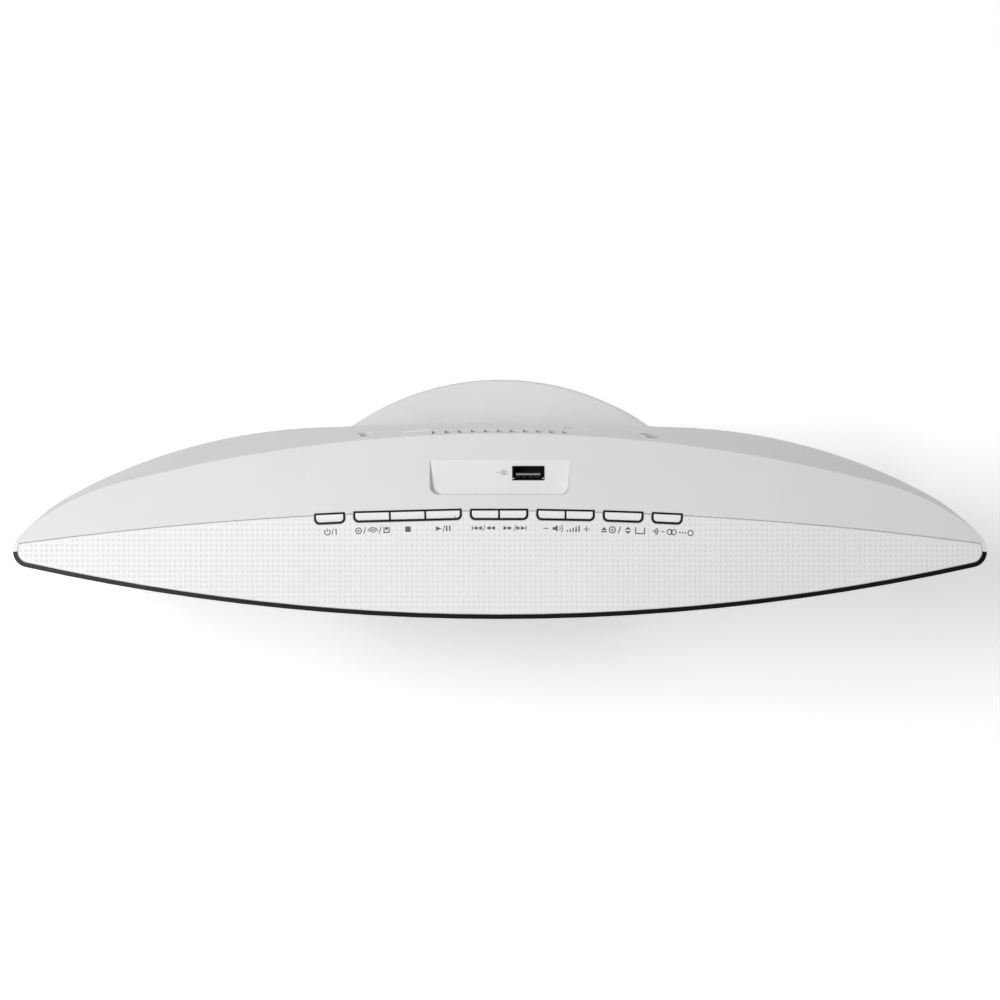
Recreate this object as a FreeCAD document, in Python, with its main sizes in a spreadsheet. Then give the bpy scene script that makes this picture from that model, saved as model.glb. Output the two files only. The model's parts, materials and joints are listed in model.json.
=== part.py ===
"""Slim desktop compact-disc player with a sliding front door, built as an assembly of separate pieces.

The body is a lens in plan: a cylindrical front, a shallower rear arc and rounded tips. It stands upright
on a flat foot plate. +Z is up, -Y is the front, X runs along the width. The origin lies on the floor, in
the middle of the width and of the overall depth. All lengths are millimetres and all angles are degrees.
"""

import FreeCAD, Part

import math
import os
import re

import Sketcher
from FreeCAD import Placement, Rotation, Vector

DRIVING_SIZES = [
    # overall body
    ("body_width", 400.0), ("body_height", 207.0), ("body_lift", 6.0), ("total_depth", 107.0),
    ("front_radius", 900.0), ("tip_front_radius", 6.5),
    ("crease_depth", 74.9), ("crease_arc_radius", 633.0), ("crease_arc_half", 161.8), ("crease_tip", 9.5),
    ("bulge_depth", 82.8), ("bulge_arc_radius", 2050.0), ("bulge_arc_half", 82.5), ("bulge_tip", 29.0),
    ("shoulder_slope", 18.0), ("wall", 2.2),
    # top and bottom panels
    ("line_depth", 44.6), ("line_radius", 1458.0), ("panel_thick", 2.0), ("ledge_width", 3.0),
    ("panel_gap", 0.2), ("fit_gap", 0.1),
    # front layers, from the outside in
    ("bezel_thick", 1.75), ("bezel_rail", 3.2), ("bezel_side", 7.5), ("lip_width", 2.0),
    ("grille_thick", 0.7), ("grille_inset", 0.25), ("door_thick", 1.8), ("slide_gap", 0.35),
    ("baffle_thick", 2.5), ("post_width", 2.0),
    # sliding door, its rail and drive
    ("door_width", 134.0), ("door_travel", 128.0), ("door_rail", 3.0), ("column_gap", 0.5),
    ("gear_module", 0.8), ("gear_backlash", 0.25), ("pinion_teeth", 12.0), ("gear_face", 2.6),
    ("rack_body", 2.4), ("shaft_radius", 1.0), ("running_gap", 0.05),
    # display
    ("window_height", 36.0), ("window_thick", 3.0), ("display_width", 92.0), ("display_height", 20.0),
    ("display_thick", 6.0),
    # disc well and mechanism
    ("disc_radius", 60.0), ("well_clearance", 2.2), ("well_wall", 1.8), ("well_depth", 15.5),
    ("well_plate_half", 66.0), ("turntable_radius", 14.0), ("hub_radius", 7.3), ("disc_plane", 10.7),
    ("hub_height", 3.1), ("spindle_motor_radius", 12.0), ("spindle_motor_length", 9.0),
    ("chassis_depth", 28.5), ("chassis_thick", 2.0), ("chassis_left", 66.0), ("chassis_right", 26.0),
    ("chassis_half", 40.0), ("damper_radius", 4.0), ("damper_length", 6.5), ("damper_bolt_radius", 1.4),
    ("sled_width", 20.0), ("sled_inner", 13.0), ("sled_half", 22.5), ("sled_thick", 7.0),
    ("sled_travel", 28.0), ("lens_radius", 3.0), ("lens_offset", 11.0), ("rod_radius", 1.5),
    ("rod_offset", 18.5), ("rod_depth", 22.0), ("sled_pinion_place", 34.0), ("small_motor_radius", 7.0),
    ("small_motor_length", 11.0),
    # buttons
    ("button_depth", 3.1), ("frame_line", 0.62), ("cap_gap", 0.12), ("divider", 0.5), ("group_gap", 3.55),
    ("button_proud", 0.3), ("button_travel", 0.5), ("button_shift", 0.8), ("cap_corner", 1.5),
    ("single_group", 12.6), ("triple_group", 44.4), ("pair_group", 23.8), ("wide_group", 16.5),
    ("switch_size", 5.0), ("switch_height", 3.4), ("switch_room", 7.0), ("button_room", 12.0),
    ("frame_foot", 4.6), ("flange_top", 4.8), ("flange_foot", 5.6), ("board_thick", 1.6),
    ("frame_reach", 12.0),
    # usb recess
    ("recess_width", 58.0), ("recess_front", 51.1), ("recess_back", 65.5), ("recess_corner", 3.7),
    ("usb_place", 11.7), ("usb_depth", 60.0), ("usb_width", 13.2), ("usb_height", 5.8), ("usb_length", 14.0),
    ("usb_shell", 0.4),
    # rear face
    ("vent_count", 11.0), ("vent_pitch", 5.45), ("vent_width", 2.5), ("vent_length", 12.0),
    ("vent_drop", 16.0), ("clip_place", -36.4), ("clip_width", 12.3), ("clip_tall", 5.0),
    ("clip_drop", 28.0), ("clip_depth", 1.3), ("keyhole_spacing", 120.0), ("keyhole_shift", 3.8),
    ("keyhole_drop", 37.0), ("keyhole_radius", 4.5), ("keyhole_slot", 2.4), ("keyhole_rise", 12.0),
    ("inlet_place", -36.0), ("inlet_height", 34.0), ("inlet_width", 22.0), ("inlet_tall", 16.0),
    ("inlet_length", 18.0), ("inlet_mouth", 12.0), ("inlet_bore", 4.0), ("pin_spread", 4.3),
    ("pin_radius", 1.2), ("pin_sink", 3.0), ("jack_place", 31.7), ("jack_drop", 45.0),
    ("jack_radius", 4.5), ("jack_sink", 1.2), ("jack_wall", 1.2), ("jack_bore", 8.0), ("jack_pin", 0.9),
    # boards and power supply
    ("main_board_width", 132.0), ("main_board_depth", 50.0), ("main_board_foot", 60.0),
    ("main_board_head", 12.0), ("power_board_width", 116.0), ("power_board_depth", 62.0),
    ("power_board_height", 44.0), ("power_board_foot", 9.5), ("post_radius", 2.5),
    # screws and their bosses
    ("screw_radius", 1.45), ("screw_head_radius", 3.0), ("screw_head_height", 2.2), ("screw_place", 71.0),
    ("screw_rise", 13.0), ("screw_drop", 7.0), ("screw_length", 20.0), ("foot_screw_length", 9.0),
    ("screw_seat", 8.0), ("boss_radius", 4.2),
    # speakers
    ("box_foot", 56.0), ("box_head", 6.0), ("box_inner", 80.5), ("box_wall", 2.0), ("box_tip", 15.0),
    ("driver_radius", 32.0), ("driver_rise", 32.0), ("driver_flange", 1.8), ("cone_radius", 24.5),
    ("cone_depth", 11.0), ("cone_neck", 9.0), ("cone_travel", 1.2), ("magnet_radius", 20.0),
    ("magnet_thick", 10.0), ("basket_depth", 16.0), ("port_radius", 10.5), ("port_length", 30.0),
    # stand
    ("stand_radius", 125.0), ("stand_front_inset", 9.0), ("stand_edge", 1.4), ("stand_corner", 12.0),
    ("pad_radius", 7.0), ("pad_thick", 1.5), ("pad_seat", 0.6), ("pad_spread", 88.0), ("pad_front", 8.0),
    ("pad_rear", 12.0), ("stand_screw_spread", 46.0),
]

GROUPS = [
    ("single_group", ["power_button"]),
    ("triple_group", ["source_button", "stop_button", "play_button"]),
    ("pair_group", ["skip_back_button", "skip_forward_button"]),
    ("pair_group", ["volume_down_button", "volume_up_button"]),
    ("wide_group", ["eject_button"]),
    ("single_group", ["wireless_button"]),
]

doc = FreeCAD.newDocument("SlimDiscPlayer")
sizes = doc.addObject("Spreadsheet::Sheet", "Sizes")
for row, (alias, number) in enumerate(DRIVING_SIZES, start=1):
    sizes.set(f"A{row}", alias)
    sizes.set(f"B{row}", str(number))
    sizes.setAlias(f"B{row}", alias)
doc.recompute()

ALIASES = {alias for alias, _ in DRIVING_SIZES}
subparts = []

HEAL = 1e-3  # edge tolerance allowed when a shape is healed

# How a gear tooth is cut, in modules from the pitch line or as shares of the tooth's half width.
ROOT_DISC, TOOTH_ROOT, TOOTH_TIP = 1.15, 1.4, 0.8
RACK_ROOT, RACK_TIP, RACK_FALL = 2.0, 0.15, 3.4
WIDE_SHARE, NARROW_SHARE = 1.45, 0.5

# Chips on the main board: (left edge, foot above the floor plate), (width, height), thickness.
CHIPS = [((-44, 72), (18, 18), 2.0), ((6, 64), (14, 14), 1.6), ((-12, 100), (9, 6), 1.4),
         ((30, 108), (22, 6), 7.0), ((-50, 112), (20, 5), 6.0), ((40, 76), (8, 12), 1.8),
         ((-24, 84), (6, 6), 3.0), ((16, 90), (5, 9), 1.2)]
# Capacitors on the power board: place across, height above its foot, radius, length.
CANS = [(-8, 14, 6, 22), (-24, 14, 6, 22), (-8, 31, 4, 14), (-22, 31, 4, 14), (48, 12, 4, 12)]
FIN_PLACES, FIN_THICK = (-50, -46.4, -42.7, -39, -35.4), 1.4

# Places that several pieces share, as expressions of the driving sizes.
FRONT = "(-total_depth / 2)"
FLOOR = "body_lift"
TOP = "(body_lift + body_height)"
MIDDLE = "(body_lift + body_height / 2)"
ARC_Y = f"({FRONT} + front_radius)"
DOOR_OUT = "(front_radius - bezel_thick - slide_gap)"
DOOR_IN = f"({DOOR_OUT} - door_thick)"
BAFFLE_OUT = f"({DOOR_IN} - slide_gap)"
BAFFLE_IN = f"({BAFFLE_OUT} - baffle_thick)"
LIP_OUT = "(front_radius - grille_inset - grille_thick - running_gap)"
WINDOW_Z = "(body_lift + bezel_rail + fit_gap)"
RAIL_Z = f"({WINDOW_Z} + window_height + fit_gap)"
DOOR_Z = f"({RAIL_Z} + door_rail + slide_gap)"
DOOR_TOP = f"({TOP} - panel_thick - wall - slide_gap)"
DISC_Z = f"(({DOOR_Z} + {DOOR_TOP}) / 2)"
WELL_RADIUS = "(disc_radius + well_clearance)"
PITCH_RADIUS = "(gear_module * pinion_teeth / 2)"


# ---------------------------------------------------------------- expressions and small builders

def bound(text):
    """The expression with each driving size named as a cell of the sheet."""
    return re.sub(r"[a-z_]+", lambda w: f"Sizes.{w[0]}" if w[0] in ALIASES else w[0], str(text))


def value(text):
    """The number that an expression of driving sizes has now."""
    return float(sizes.evalExpression(bound(text)))


def bind(obj, **expressions):
    for name, text in expressions.items():
        obj.setExpression(name, bound(text))
    return obj


def at(obj, x=0, y=0, z=0):
    obj.setExpression("Placement.Base.x", bound(x))
    obj.setExpression("Placement.Base.y", bound(y))
    obj.setExpression("Placement.Base.z", bound(z))
    return obj


def subpart(obj, name):
    """Gives the object the name of its node and keeps it for export."""
    obj.Label = name
    subparts.append(obj)
    return obj


def grouped(kind, pieces, name):
    """Several alike pieces that count as one sub-part."""
    group = doc.addObject("Part::Compound", kind)
    group.Links = pieces
    return subpart(group, name)


def box(low, high):
    """A Part::Box between two corners, each given as three expressions."""
    piece = doc.addObject("Part::Box", "Block")
    bind(piece, Length=f"({high[0]}) - ({low[0]})", Width=f"({high[1]}) - ({low[1]})")
    bind(piece, Height=f"({high[2]}) - ({low[2]})")
    return at(piece, *low)


def cylinder(radius, length, x, y, z, along="Z"):
    """A Part::Cylinder from a point along +Z, +Y or +X."""
    piece = doc.addObject("Part::Cylinder", "Round")
    turn = {"Z": Rotation(), "Y": Rotation(Vector(1, 0, 0), -90), "X": Rotation(Vector(0, 1, 0), 90)}
    piece.Placement = Placement(Vector(), turn[along])
    bind(piece, Radius=radius, Height=length)
    return at(piece, x, y, z)


def fuse(*pieces):
    if len(pieces) == 1:
        return pieces[0]
    made = doc.addObject("Part::MultiFuse", "Joined")
    made.Shapes = list(pieces)
    return made


def cut(base, *tools):
    made = doc.addObject("Part::Cut", "Trimmed")
    made.Base = base
    made.Tool = fuse(*tools)
    return made


def common(*pieces):
    made = doc.addObject("Part::MultiCommon", "Shared")
    made.Shapes = list(pieces)
    return made


def solid(shape, name):
    """A Part::Feature for a shape that no primitive or sketch gives."""
    piece = doc.addObject("Part::Feature", name)
    piece.Shape = shape
    return piece


def healed(shape):
    """A long run of cuts leaves loose edge tolerances; this closes them up."""
    made = shape.removeSplitter()
    made.fix(HEAL, HEAL, HEAL * 10)
    return made


def arc_plate(outer, inner, low_x, high_x, low_z, high_z):
    """A stretch of wall concentric with the cylindrical front, between two radii."""
    tall = f"({high_z}) - ({low_z})"
    ring = cut(cylinder(outer, tall, 0, ARC_Y, low_z), cylinder(inner, tall, 0, ARC_Y, low_z))
    span = box((low_x, f"{FRONT} - 1", low_z), (high_x, f"{FRONT} + crease_depth", high_z))
    return common(ring, span)


def new_body(name, placement=None):
    body = doc.addObject("PartDesign::Body", name)
    if placement:
        body.Placement = placement
    return body


def new_sketch(body, plane):
    sketch = body.newObject("Sketcher::SketchObject", "Profile")
    origin_plane = next(f for f in body.Origin.OriginFeatures if f.Role == plane)
    sketch.AttachmentSupport = [(origin_plane, "")]
    sketch.MapMode = "FlatFace"
    return sketch


def outline_sketch(body, plane, points):
    """A closed outline of straight lines whose corners are bound to expressions."""
    sketch = new_sketch(body, plane)
    places = [Vector(value(x), value(y), 0) for x, y in points]
    count = len(points)
    for i in range(count):
        sketch.addGeometry(Part.LineSegment(places[i], places[(i + 1) % count]), False)
    for i in range(count):
        sketch.addConstraint(Sketcher.Constraint("Coincident", i, 2, (i + 1) % count, 1))
    for i, (x, y) in enumerate(points):
        across = sketch.addConstraint(Sketcher.Constraint("DistanceX", -1, 1, i, 1, places[i].x))
        sketch.setExpression(f"Constraints[{across}]", bound(x))
        up = sketch.addConstraint(Sketcher.Constraint("DistanceY", -1, 1, i, 1, places[i].y))
        sketch.setExpression(f"Constraints[{up}]", bound(y))
    return sketch


def turned(name, points, placement=None):
    """A PartDesign body revolved about its own Z axis from (radius, height) corners."""
    body = new_body(name, placement)
    sketch = outline_sketch(body, "XZ_Plane", points)
    turn = body.newObject("PartDesign::Revolution", "Turned")
    turn.Profile = sketch
    turn.ReferenceAxis = (sketch, ["V_Axis"])
    turn.Angle = 360
    return body


# ---------------------------------------------------------------- the outer skin

def skin_outline(kind, inset, z):
    """The crease or bulge outline at one height: front arc, two tip arcs a side, side arcs and rear arc."""
    depth, tip_rear = value(f"{kind}_depth"), value(f"{kind}_tip")
    arc_radius, arc_half = value(f"{kind}_arc_radius"), value(f"{kind}_arc_half")
    half = value("body_width") / 2
    radius, tip_front = value("front_radius"), value("tip_front_radius")
    front_centre = Vector(0, value(ARC_Y), z)
    tip_x = half - tip_front
    tip_y = front_centre.y - math.sqrt((radius - tip_front) ** 2 - tip_x ** 2)
    tip_centre = Vector(tip_x, tip_y, z)
    rear_tip = Vector(half - tip_rear, tip_y, z)
    rear_y = value(FRONT) + depth
    arc_centre = Vector(0, rear_y - arc_radius, z)
    lean = math.asin(arc_half / arc_radius)
    along = Vector(math.sin(lean), math.cos(lean), 0)
    joint = arc_centre + along * arc_radius
    reach = rear_tip - joint
    side = (reach.dot(reach) - tip_rear ** 2) / (-2 * (tip_rear + reach.dot(along)))
    side_centre = joint - along * side
    to_front = (tip_centre - front_centre).normalize()
    to_rear = (rear_tip - side_centre).normalize()
    outward = Vector(1, 0, 0)

    def between(centre, a, b, size):
        return centre + (a + b).normalize() * size

    marks = [
        front_centre + to_front * (radius - inset),
        between(tip_centre, to_front, outward, tip_front - inset),
        Vector(half - inset, tip_y, z),
        between(rear_tip, outward, to_rear, tip_rear - inset),
        side_centre + to_rear * (side - inset),
        between(side_centre, to_rear, along, side - inset),
        arc_centre + along * (arc_radius - inset),
    ]
    mirrored = [Vector(-p.x, p.y, z) for p in marks]
    low = front_centre + Vector(0, inset - radius, 0)
    high = Vector(0, rear_y - inset, z)
    arcs = [Part.Arc(mirrored[0], low, marks[0])]
    arcs += [Part.Arc(marks[i], marks[i + 1], marks[i + 2]) for i in (0, 2, 4)]
    arcs.append(Part.Arc(marks[6], high, mirrored[6]))
    arcs += [Part.Arc(mirrored[i], mirrored[i - 1], mirrored[i - 2]) for i in (6, 4, 2)]
    return Part.Wire([arc.toShape() for arc in arcs])


def line_axis():
    """The axis of the arc that ends the top panel and starts the sloping shoulder."""
    return Vector(0, value(f"{FRONT} + line_depth - line_radius"), 0)


def shoulder_space(inset):
    """Everything under the flat top and the sloping shoulder, and over their mirror image below."""
    slope = math.radians(value("shoulder_slope"))
    reach = value("crease_depth")
    low, high = value(FLOOR) + inset, value(TOP) - inset
    start = inset * math.tan(slope / 2)
    drop = (reach - start) * math.tan(slope)
    axis = line_axis()
    front, line = value(FRONT) - reach, axis.y + value("line_radius")
    profile = [(front, low), (line + start, low), (line + reach, low + drop),
               (line + reach, high - drop), (line + start, high), (front, high)]
    points = [Vector(0, y, z) for y, z in profile]
    face = Part.Face(Part.makePolygon(points + points[:1]))
    spread = math.degrees(math.asin(value("body_width") / value("line_radius")))
    face.rotate(axis, Vector(0, 0, 1), -spread)
    return face.revolve(axis, Vector(0, 0, 1), 2 * spread)


def skin(inset):
    """The body's outer form, moved inward by a wall: a bulging prism trimmed by the shoulders."""
    low, middle, high = value(FLOOR), value(MIDDLE), value(TOP)
    sections = [skin_outline("crease", inset, low), skin_outline("bulge", inset, middle),
                skin_outline("crease", inset, high)]
    return Part.makeLoft(sections, True, False).common(shoulder_space(inset)).removeSplitter()


def prism(inset, low, high):
    """A straight prism of the crease outline between two heights."""
    return Part.Face(skin_outline("crease", inset, low)).extrude(Vector(0, 0, high - low))


def block(low, high):
    """A plain box of numbers, for shapes that are built in one go."""
    size = Vector(*high) - Vector(*low)
    return Part.makeBox(size.x, size.y, size.z, Vector(*low))


def column(radius, low, high, centre):
    """An upright cylinder of numbers between two heights."""
    return Part.makeCylinder(radius, high - low, Vector(centre.x, centre.y, low))


def rod(radius, x, z, low_y, high_y):
    """A level cylinder of numbers along Y."""
    return Part.makeCylinder(radius, high_y - low_y, Vector(x, low_y, z), Vector(0, 1, 0))


def skin_y(x, z):
    """Where a line along Y leaves the body's rear face."""
    ray = Part.LineSegment(Vector(x, value(FRONT), z), Vector(x, value("total_depth"), z)).toShape()
    return ray.common(outer_skin).BoundBox.YMax


outer_skin = skin(0)
middle_skin = skin(value("wall") / 2)
inner_skin = skin(value("wall"))
front_axis = Vector(0, value(ARC_Y), 0)
tip_line_y = value(ARC_Y) - math.sqrt((value("front_radius") - value("tip_front_radius")) ** 2
                                      - (value("body_width") / 2 - value("tip_front_radius")) ** 2)


# ---------------------------------------------------------------- button groups

def group_places():
    """Each group's placement on the panel line, with its width and its buttons."""
    widths = [value(w) for w, _ in GROUPS]
    gap = value("group_gap")
    start = -(sum(widths) + gap * (len(widths) - 1)) / 2 - value("frame_line")
    axis, radius = line_axis(), value("line_radius + button_shift")
    places = []
    for width, (_, names) in zip(widths, GROUPS):
        angle = (start + width / 2) / radius
        where = axis + Vector(math.sin(angle) * radius, math.cos(angle) * radius, 0)
        places.append((Placement(where, Rotation(Vector(0, 0, 1), -math.degrees(angle))), width, names))
        start += width + gap
    return places


def group_block(width, grow, low, high, back=0.0):
    """A group's footprint in its own frame, grown all round."""
    depth = value("button_depth + 2 * frame_line + 2 * cap_gap")
    low_corner = (-width / 2 - grow, -depth - grow - value("fit_gap"), low)
    return block(low_corner, (width / 2 + grow, grow - value("fit_gap") + back, high))


def moved(shape, placement):
    made = shape.copy()
    made.Placement = placement.multiply(made.Placement)
    return made


def round_upright(shape, radius, pick):
    """Rounds the upright edges that a test picks."""
    edges = [e for e in shape.Edges if len(e.Vertexes) == 2 and e.Curve.TypeId == "Part::GeomLine"
             and abs(e.tangentAt(e.FirstParameter).z) > 0.99 and pick(e.CenterOfMass)]
    return shape.makeFillet(radius, edges) if edges else shape


def front_corner(point):
    return point.y < value("-button_depth")


def group_footprint(width, grow, low, high):
    shape = group_block(width, grow, low, high)
    return round_upright(shape, value("cap_corner + frame_line") + grow, front_corner)


def button_cells(width, names):
    """Each button's centre and width inside its group."""
    inner = width - 2 * value("frame_line + cap_gap")
    pitch = (inner + value("divider + 2 * cap_gap")) / len(names)
    cap = pitch - value("divider + 2 * cap_gap")
    first = -inner / 2 + cap / 2
    return [(name, first + i * pitch, cap) for i, name in enumerate(names)]


def cap_block(centre, width, group_width, grow, low, high):
    """One cap's prism, with its corners rounded where it ends the group."""
    back = -value("fit_gap + frame_line + cap_gap")
    shape = block((centre - width / 2 - grow, back - value("button_depth") - grow, low),
                  (centre + width / 2 + grow, back + grow, high))
    edge = group_width / 2 - value("cap_corner + frame_line")

    def ends_group(point):
        return point.y < back - value("button_depth / 2") and abs(point.x) > edge

    return round_upright(shape, value("cap_corner") + grow, ends_group)


def make_button(name, place, centre, width, group_width):
    """A key cap with a softened crown, a retaining flange under the frame and a stem for its switch."""
    high = value(f"{TOP} + button_proud")
    low = value(f"{TOP} - flange_top")
    flange_low = value(f"{TOP} - flange_foot")
    cap = cap_block(centre, width, group_width, 0, low, high)
    crown = [e for e in cap.Edges if abs(e.BoundBox.ZMin - high) < 1e-6 and e.BoundBox.ZLength < 1e-6]
    cap = cap.makeFillet(value("button_proud"), crown)
    back = -value("fit_gap + frame_line + cap_gap")
    grip = value("frame_line - fit_gap")
    flange = block((centre - width / 2, back - value("button_depth") - grip, flange_low),
                   (centre + width / 2, back + grip, low))
    stem_low = value(TOP) - value("switch_room - button_travel - fit_gap")
    middle = Vector(centre, back - value("button_depth / 2"), 0)
    stem = column(value("shaft_radius * 1.4"), stem_low, flange_low, middle)
    shape = cap.fuse([flange, stem]).removeSplitter()
    subpart(solid(moved(shape, place), name), name)


def make_buttons():
    for place, width, names in group_places():
        for name, centre, cap in button_cells(width, names):
            make_button(name, place, centre, cap, width)


def make_button_frame():
    """The dark moulding behind the panel: a rail with one raised collar for each group of buttons."""
    axis, radius = line_axis(), value("line_radius")
    high, low = value(TOP), value(f"{TOP} - frame_foot")
    under = high - value("panel_thick + fit_gap / 2")
    reach = value("frame_reach")
    half = group_span()
    rail = column(radius - value("fit_gap"), low, under, axis).cut(column(radius - reach, low, under, axis))
    rail = rail.common(block((-half, value(FRONT), low), (half, value("crease_depth"), under)))
    collars, cells, posts = [], [], []
    post_foot = value(f"{TOP} - switch_room - switch_height")
    for place, width, names in group_places():
        collars.append(moved(group_footprint(width, 0, low, high + value("fit_gap / 2")), place))
        for _, centre, cap in button_cells(width, names):
            cells.append(moved(cap_block(centre, cap, width, value("cap_gap"), low - 1, high + 1), place))
        post_at = Vector(width / 2 + value("group_gap / 2"), -reach * 0.75, 0)
        if names != GROUPS[-1][1]:
            post = column(value("group_gap / 2 - fit_gap"), post_foot, low, post_at)
            posts.append(moved(post, place))
    shape = rail.fuse(collars + posts).cut(Part.makeCompound(cells)).removeSplitter()
    subpart(solid(shape, "button_frame"), "button_frame")


def group_span():
    """Half the width that the button frame takes."""
    widths = sum(value(w) for w, _ in GROUPS) + value("group_gap") * (len(GROUPS) - 1)
    return widths / 2 + value("group_gap")


def make_control_board():
    """The circuit board under the buttons, with one push switch under each stem."""
    high = value(f"{TOP} - switch_room - switch_height")
    low = high - value("board_thick")
    axis, radius = line_axis(), value("line_radius")
    board = column(radius + value("frame_line"), low, high, axis)
    board = board.cut(column(radius - value("frame_reach"), low, high, axis))
    half = group_span()
    board = board.common(block((-half, value(FRONT), low), (half, value("crease_depth"), high)))
    subpart(solid(board, "control_board"), "control_board")
    switches = []
    size, tall = value("switch_size"), value("switch_height")
    for place, width, names in group_places():
        for _, centre, _ in button_cells(width, names):
            mid = -value("fit_gap + frame_line + cap_gap + button_depth / 2")
            rim = high + tall * 0.6
            case = block((centre - size / 2, mid - size / 2, high), (centre + size / 2, mid + size / 2, rim))
            plunger = column(size * 0.3, rim, high + tall, Vector(centre, mid, 0))
            switches.append(moved(case.fuse(plunger).removeSplitter(), place))
    subpart(solid(Part.makeCompound(switches), "tact_switches"), "tact_switches")


# ---------------------------------------------------------------- panels and cabinets

def panel_plan(inset, radius_cut, low, high):
    """The lens that a panel fills: inside the bezel and in front of the panel line."""
    lens = prism(inset, low, high).common(column(value("line_radius") - radius_cut, low, high, line_axis()))
    return lens


def make_panels():
    """The textured top panel with a notch for each button group, and the plain bottom panel."""
    gap, thick = value("fit_gap"), value("panel_thick")
    high = value(TOP)
    lens = panel_plan(value("bezel_thick") + gap, value("panel_gap"), high - thick, high)
    notches = [moved(group_footprint(width, gap, high - thick - 1, high + 1), place)
               for place, width, _ in group_places()]
    subpart(solid(lens.cut(Part.makeCompound(notches)), "top_panel"), "top_panel")
    low = value(FLOOR)
    base = panel_plan(value("bezel_thick") + gap, value("panel_gap"), low, low + thick)
    screws = [column(value("screw_radius") + gap, low - 1, low + thick + 1, Vector(x, stand_screw_y(), 0))
              for x in stand_screw_x()]
    subpart(solid(base.cut(Part.makeCompound(screws)), "bottom_panel"), "bottom_panel")


def recess_block(grow, low, high):
    """The USB recess, with rounded front corners."""
    half = value("recess_width / 2") + grow
    front, back = value(f"{FRONT} + recess_front") - grow, value(f"{FRONT} + recess_back") + grow
    shape = block((-half, front, low), (half, back, high))
    return round_upright(shape, value("recess_corner") + grow, lambda p: p.y < (front + back) / 2)


def recess_floor():
    """The floor's height: just under the shoulder at the recess's back edge."""
    fall = value("(recess_back - line_depth) * tan(shoulder_slope)")
    return value(TOP) - fall - value("wall / 6")


def screw_places():
    side = value("screw_place")
    heights = (value("body_lift + screw_rise"), value(f"{MIDDLE} - screw_drop"))
    return [(x, z) for x in (-side, side) for z in heights]


def screw_seat_y():
    """Where the cabinet screws' heads bear, in front of the rear wall."""
    return value(f"{FRONT} + main_board_depth - screw_seat")


def stand_screw_x():
    return (-value("stand_screw_spread"), value("stand_screw_spread"))


def stand_screw_y():
    return value(f"{FRONT} + line_depth / 2")


def board_posts():
    """Level posts on the rear wall for the main board and the power board."""
    radius = value("post_radius")
    main_back = value(f"{FRONT} + main_board_depth + board_thick")
    power_back = value(f"{FRONT} + power_board_depth + board_thick")
    main_x = value("main_board_width / 2") - 3 * radius
    power_x = value("power_board_width / 2") - 3 * radius
    rear = value("bulge_depth")
    posts = [rod(radius, x, z, main_back, rear) for x in (-main_x, main_x)
             for z in (value("body_lift + main_board_foot") + 3 * radius,
                       value(f"{TOP} - main_board_head") - 3 * radius - value("keyhole_radius"))]
    posts += [rod(radius, x, z, power_back, rear) for x in (-power_x, power_x)
              for z in (value("body_lift + power_board_foot") + 2 * radius,
                        value("body_lift + power_board_foot + power_board_height") - 2 * radius)]
    return posts


def rear_openings():
    """Vents, keyholes, jack hole, inlet hole and screw wells, as one list of cutters."""
    front, rear = value(f"{FRONT} + main_board_depth"), value("bulge_depth")
    cutters = []
    high, half = value(f"{TOP} - vent_drop"), value("vent_width / 2")
    for i in range(int(value("vent_count"))):
        x = (i - (value("vent_count") - 1) / 2) * value("vent_pitch")
        cutters.append(block((x - half, front + 10, high - value("vent_length")), (x + half, rear, high)))
    x, half, high = value("clip_place"), value("clip_width / 2"), value(f"{TOP} - clip_drop")
    groove = block((x - half, front + 10, high - value("clip_tall")), (x + half, rear, high))
    cutters.append(groove.cut(skin(value("clip_depth"))))
    for side in (-1, 1):
        x = value("keyhole_shift") + side * value("keyhole_spacing / 2")
        z = value(f"{TOP} - keyhole_drop")
        half = value("keyhole_slot")
        cutters.append(rod(value("keyhole_radius"), x, z, front + 10, rear))
        cutters.append(block((x - half, front + 10, z), (x + half, rear, z + value("keyhole_rise"))))
        cutters.append(rod(half, x, z + value("keyhole_rise"), front + 10, rear))
    gap = value("fit_gap")
    jack_z = value(f"{TOP} - jack_drop")
    cutters.append(rod(value("jack_radius") + gap, value("jack_place"), jack_z, front + 10, rear))
    half, tall = value("inlet_width / 2") + gap, value("inlet_tall / 2") + gap
    x, z = value("inlet_place"), value("body_lift + inlet_height")
    cutters.append(block((x - half, front + 10, z - tall), (x + half, rear, z + tall)))
    return cutters


def rear_extras():
    """What is joined to the rear shell: the recess's tray, the panel ledges, screw bosses and posts."""
    wall, thick = value("wall"), value("panel_thick")
    low, high, floor = value(FLOOR), value(TOP), recess_floor()
    axis, line, ledge = line_axis(), value("line_radius"), value("ledge_width")
    extra = [recess_block(wall, floor - wall, high).common(middle_skin)]
    for base, top in ((high - thick - wall, high - thick), (low + thick, low + thick + wall)):
        strip = prism(wall / 2, base, top).cut(column(line - ledge, base, top, axis))
        extra.append(strip.common(column(line + ledge, base, top, axis)))
    boss, rear = value("boss_radius"), value("bulge_depth")
    extra += [rod(boss, x, z, tip_line_y, rear).common(middle_skin) for x, z in screw_places()]
    return extra + [post.common(middle_skin) for post in board_posts()]


def usb_opening(floor, high):
    gap, wall = value("fit_gap"), value("wall")
    x, y = value("usb_place"), value(f"{FRONT} + usb_depth")
    half_x, half_y = value("usb_width / 2") + gap, value("usb_height / 2") + gap
    return block((x - half_x, y - half_y, floor - wall - 1), (x + half_x, y + half_y, high))


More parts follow.
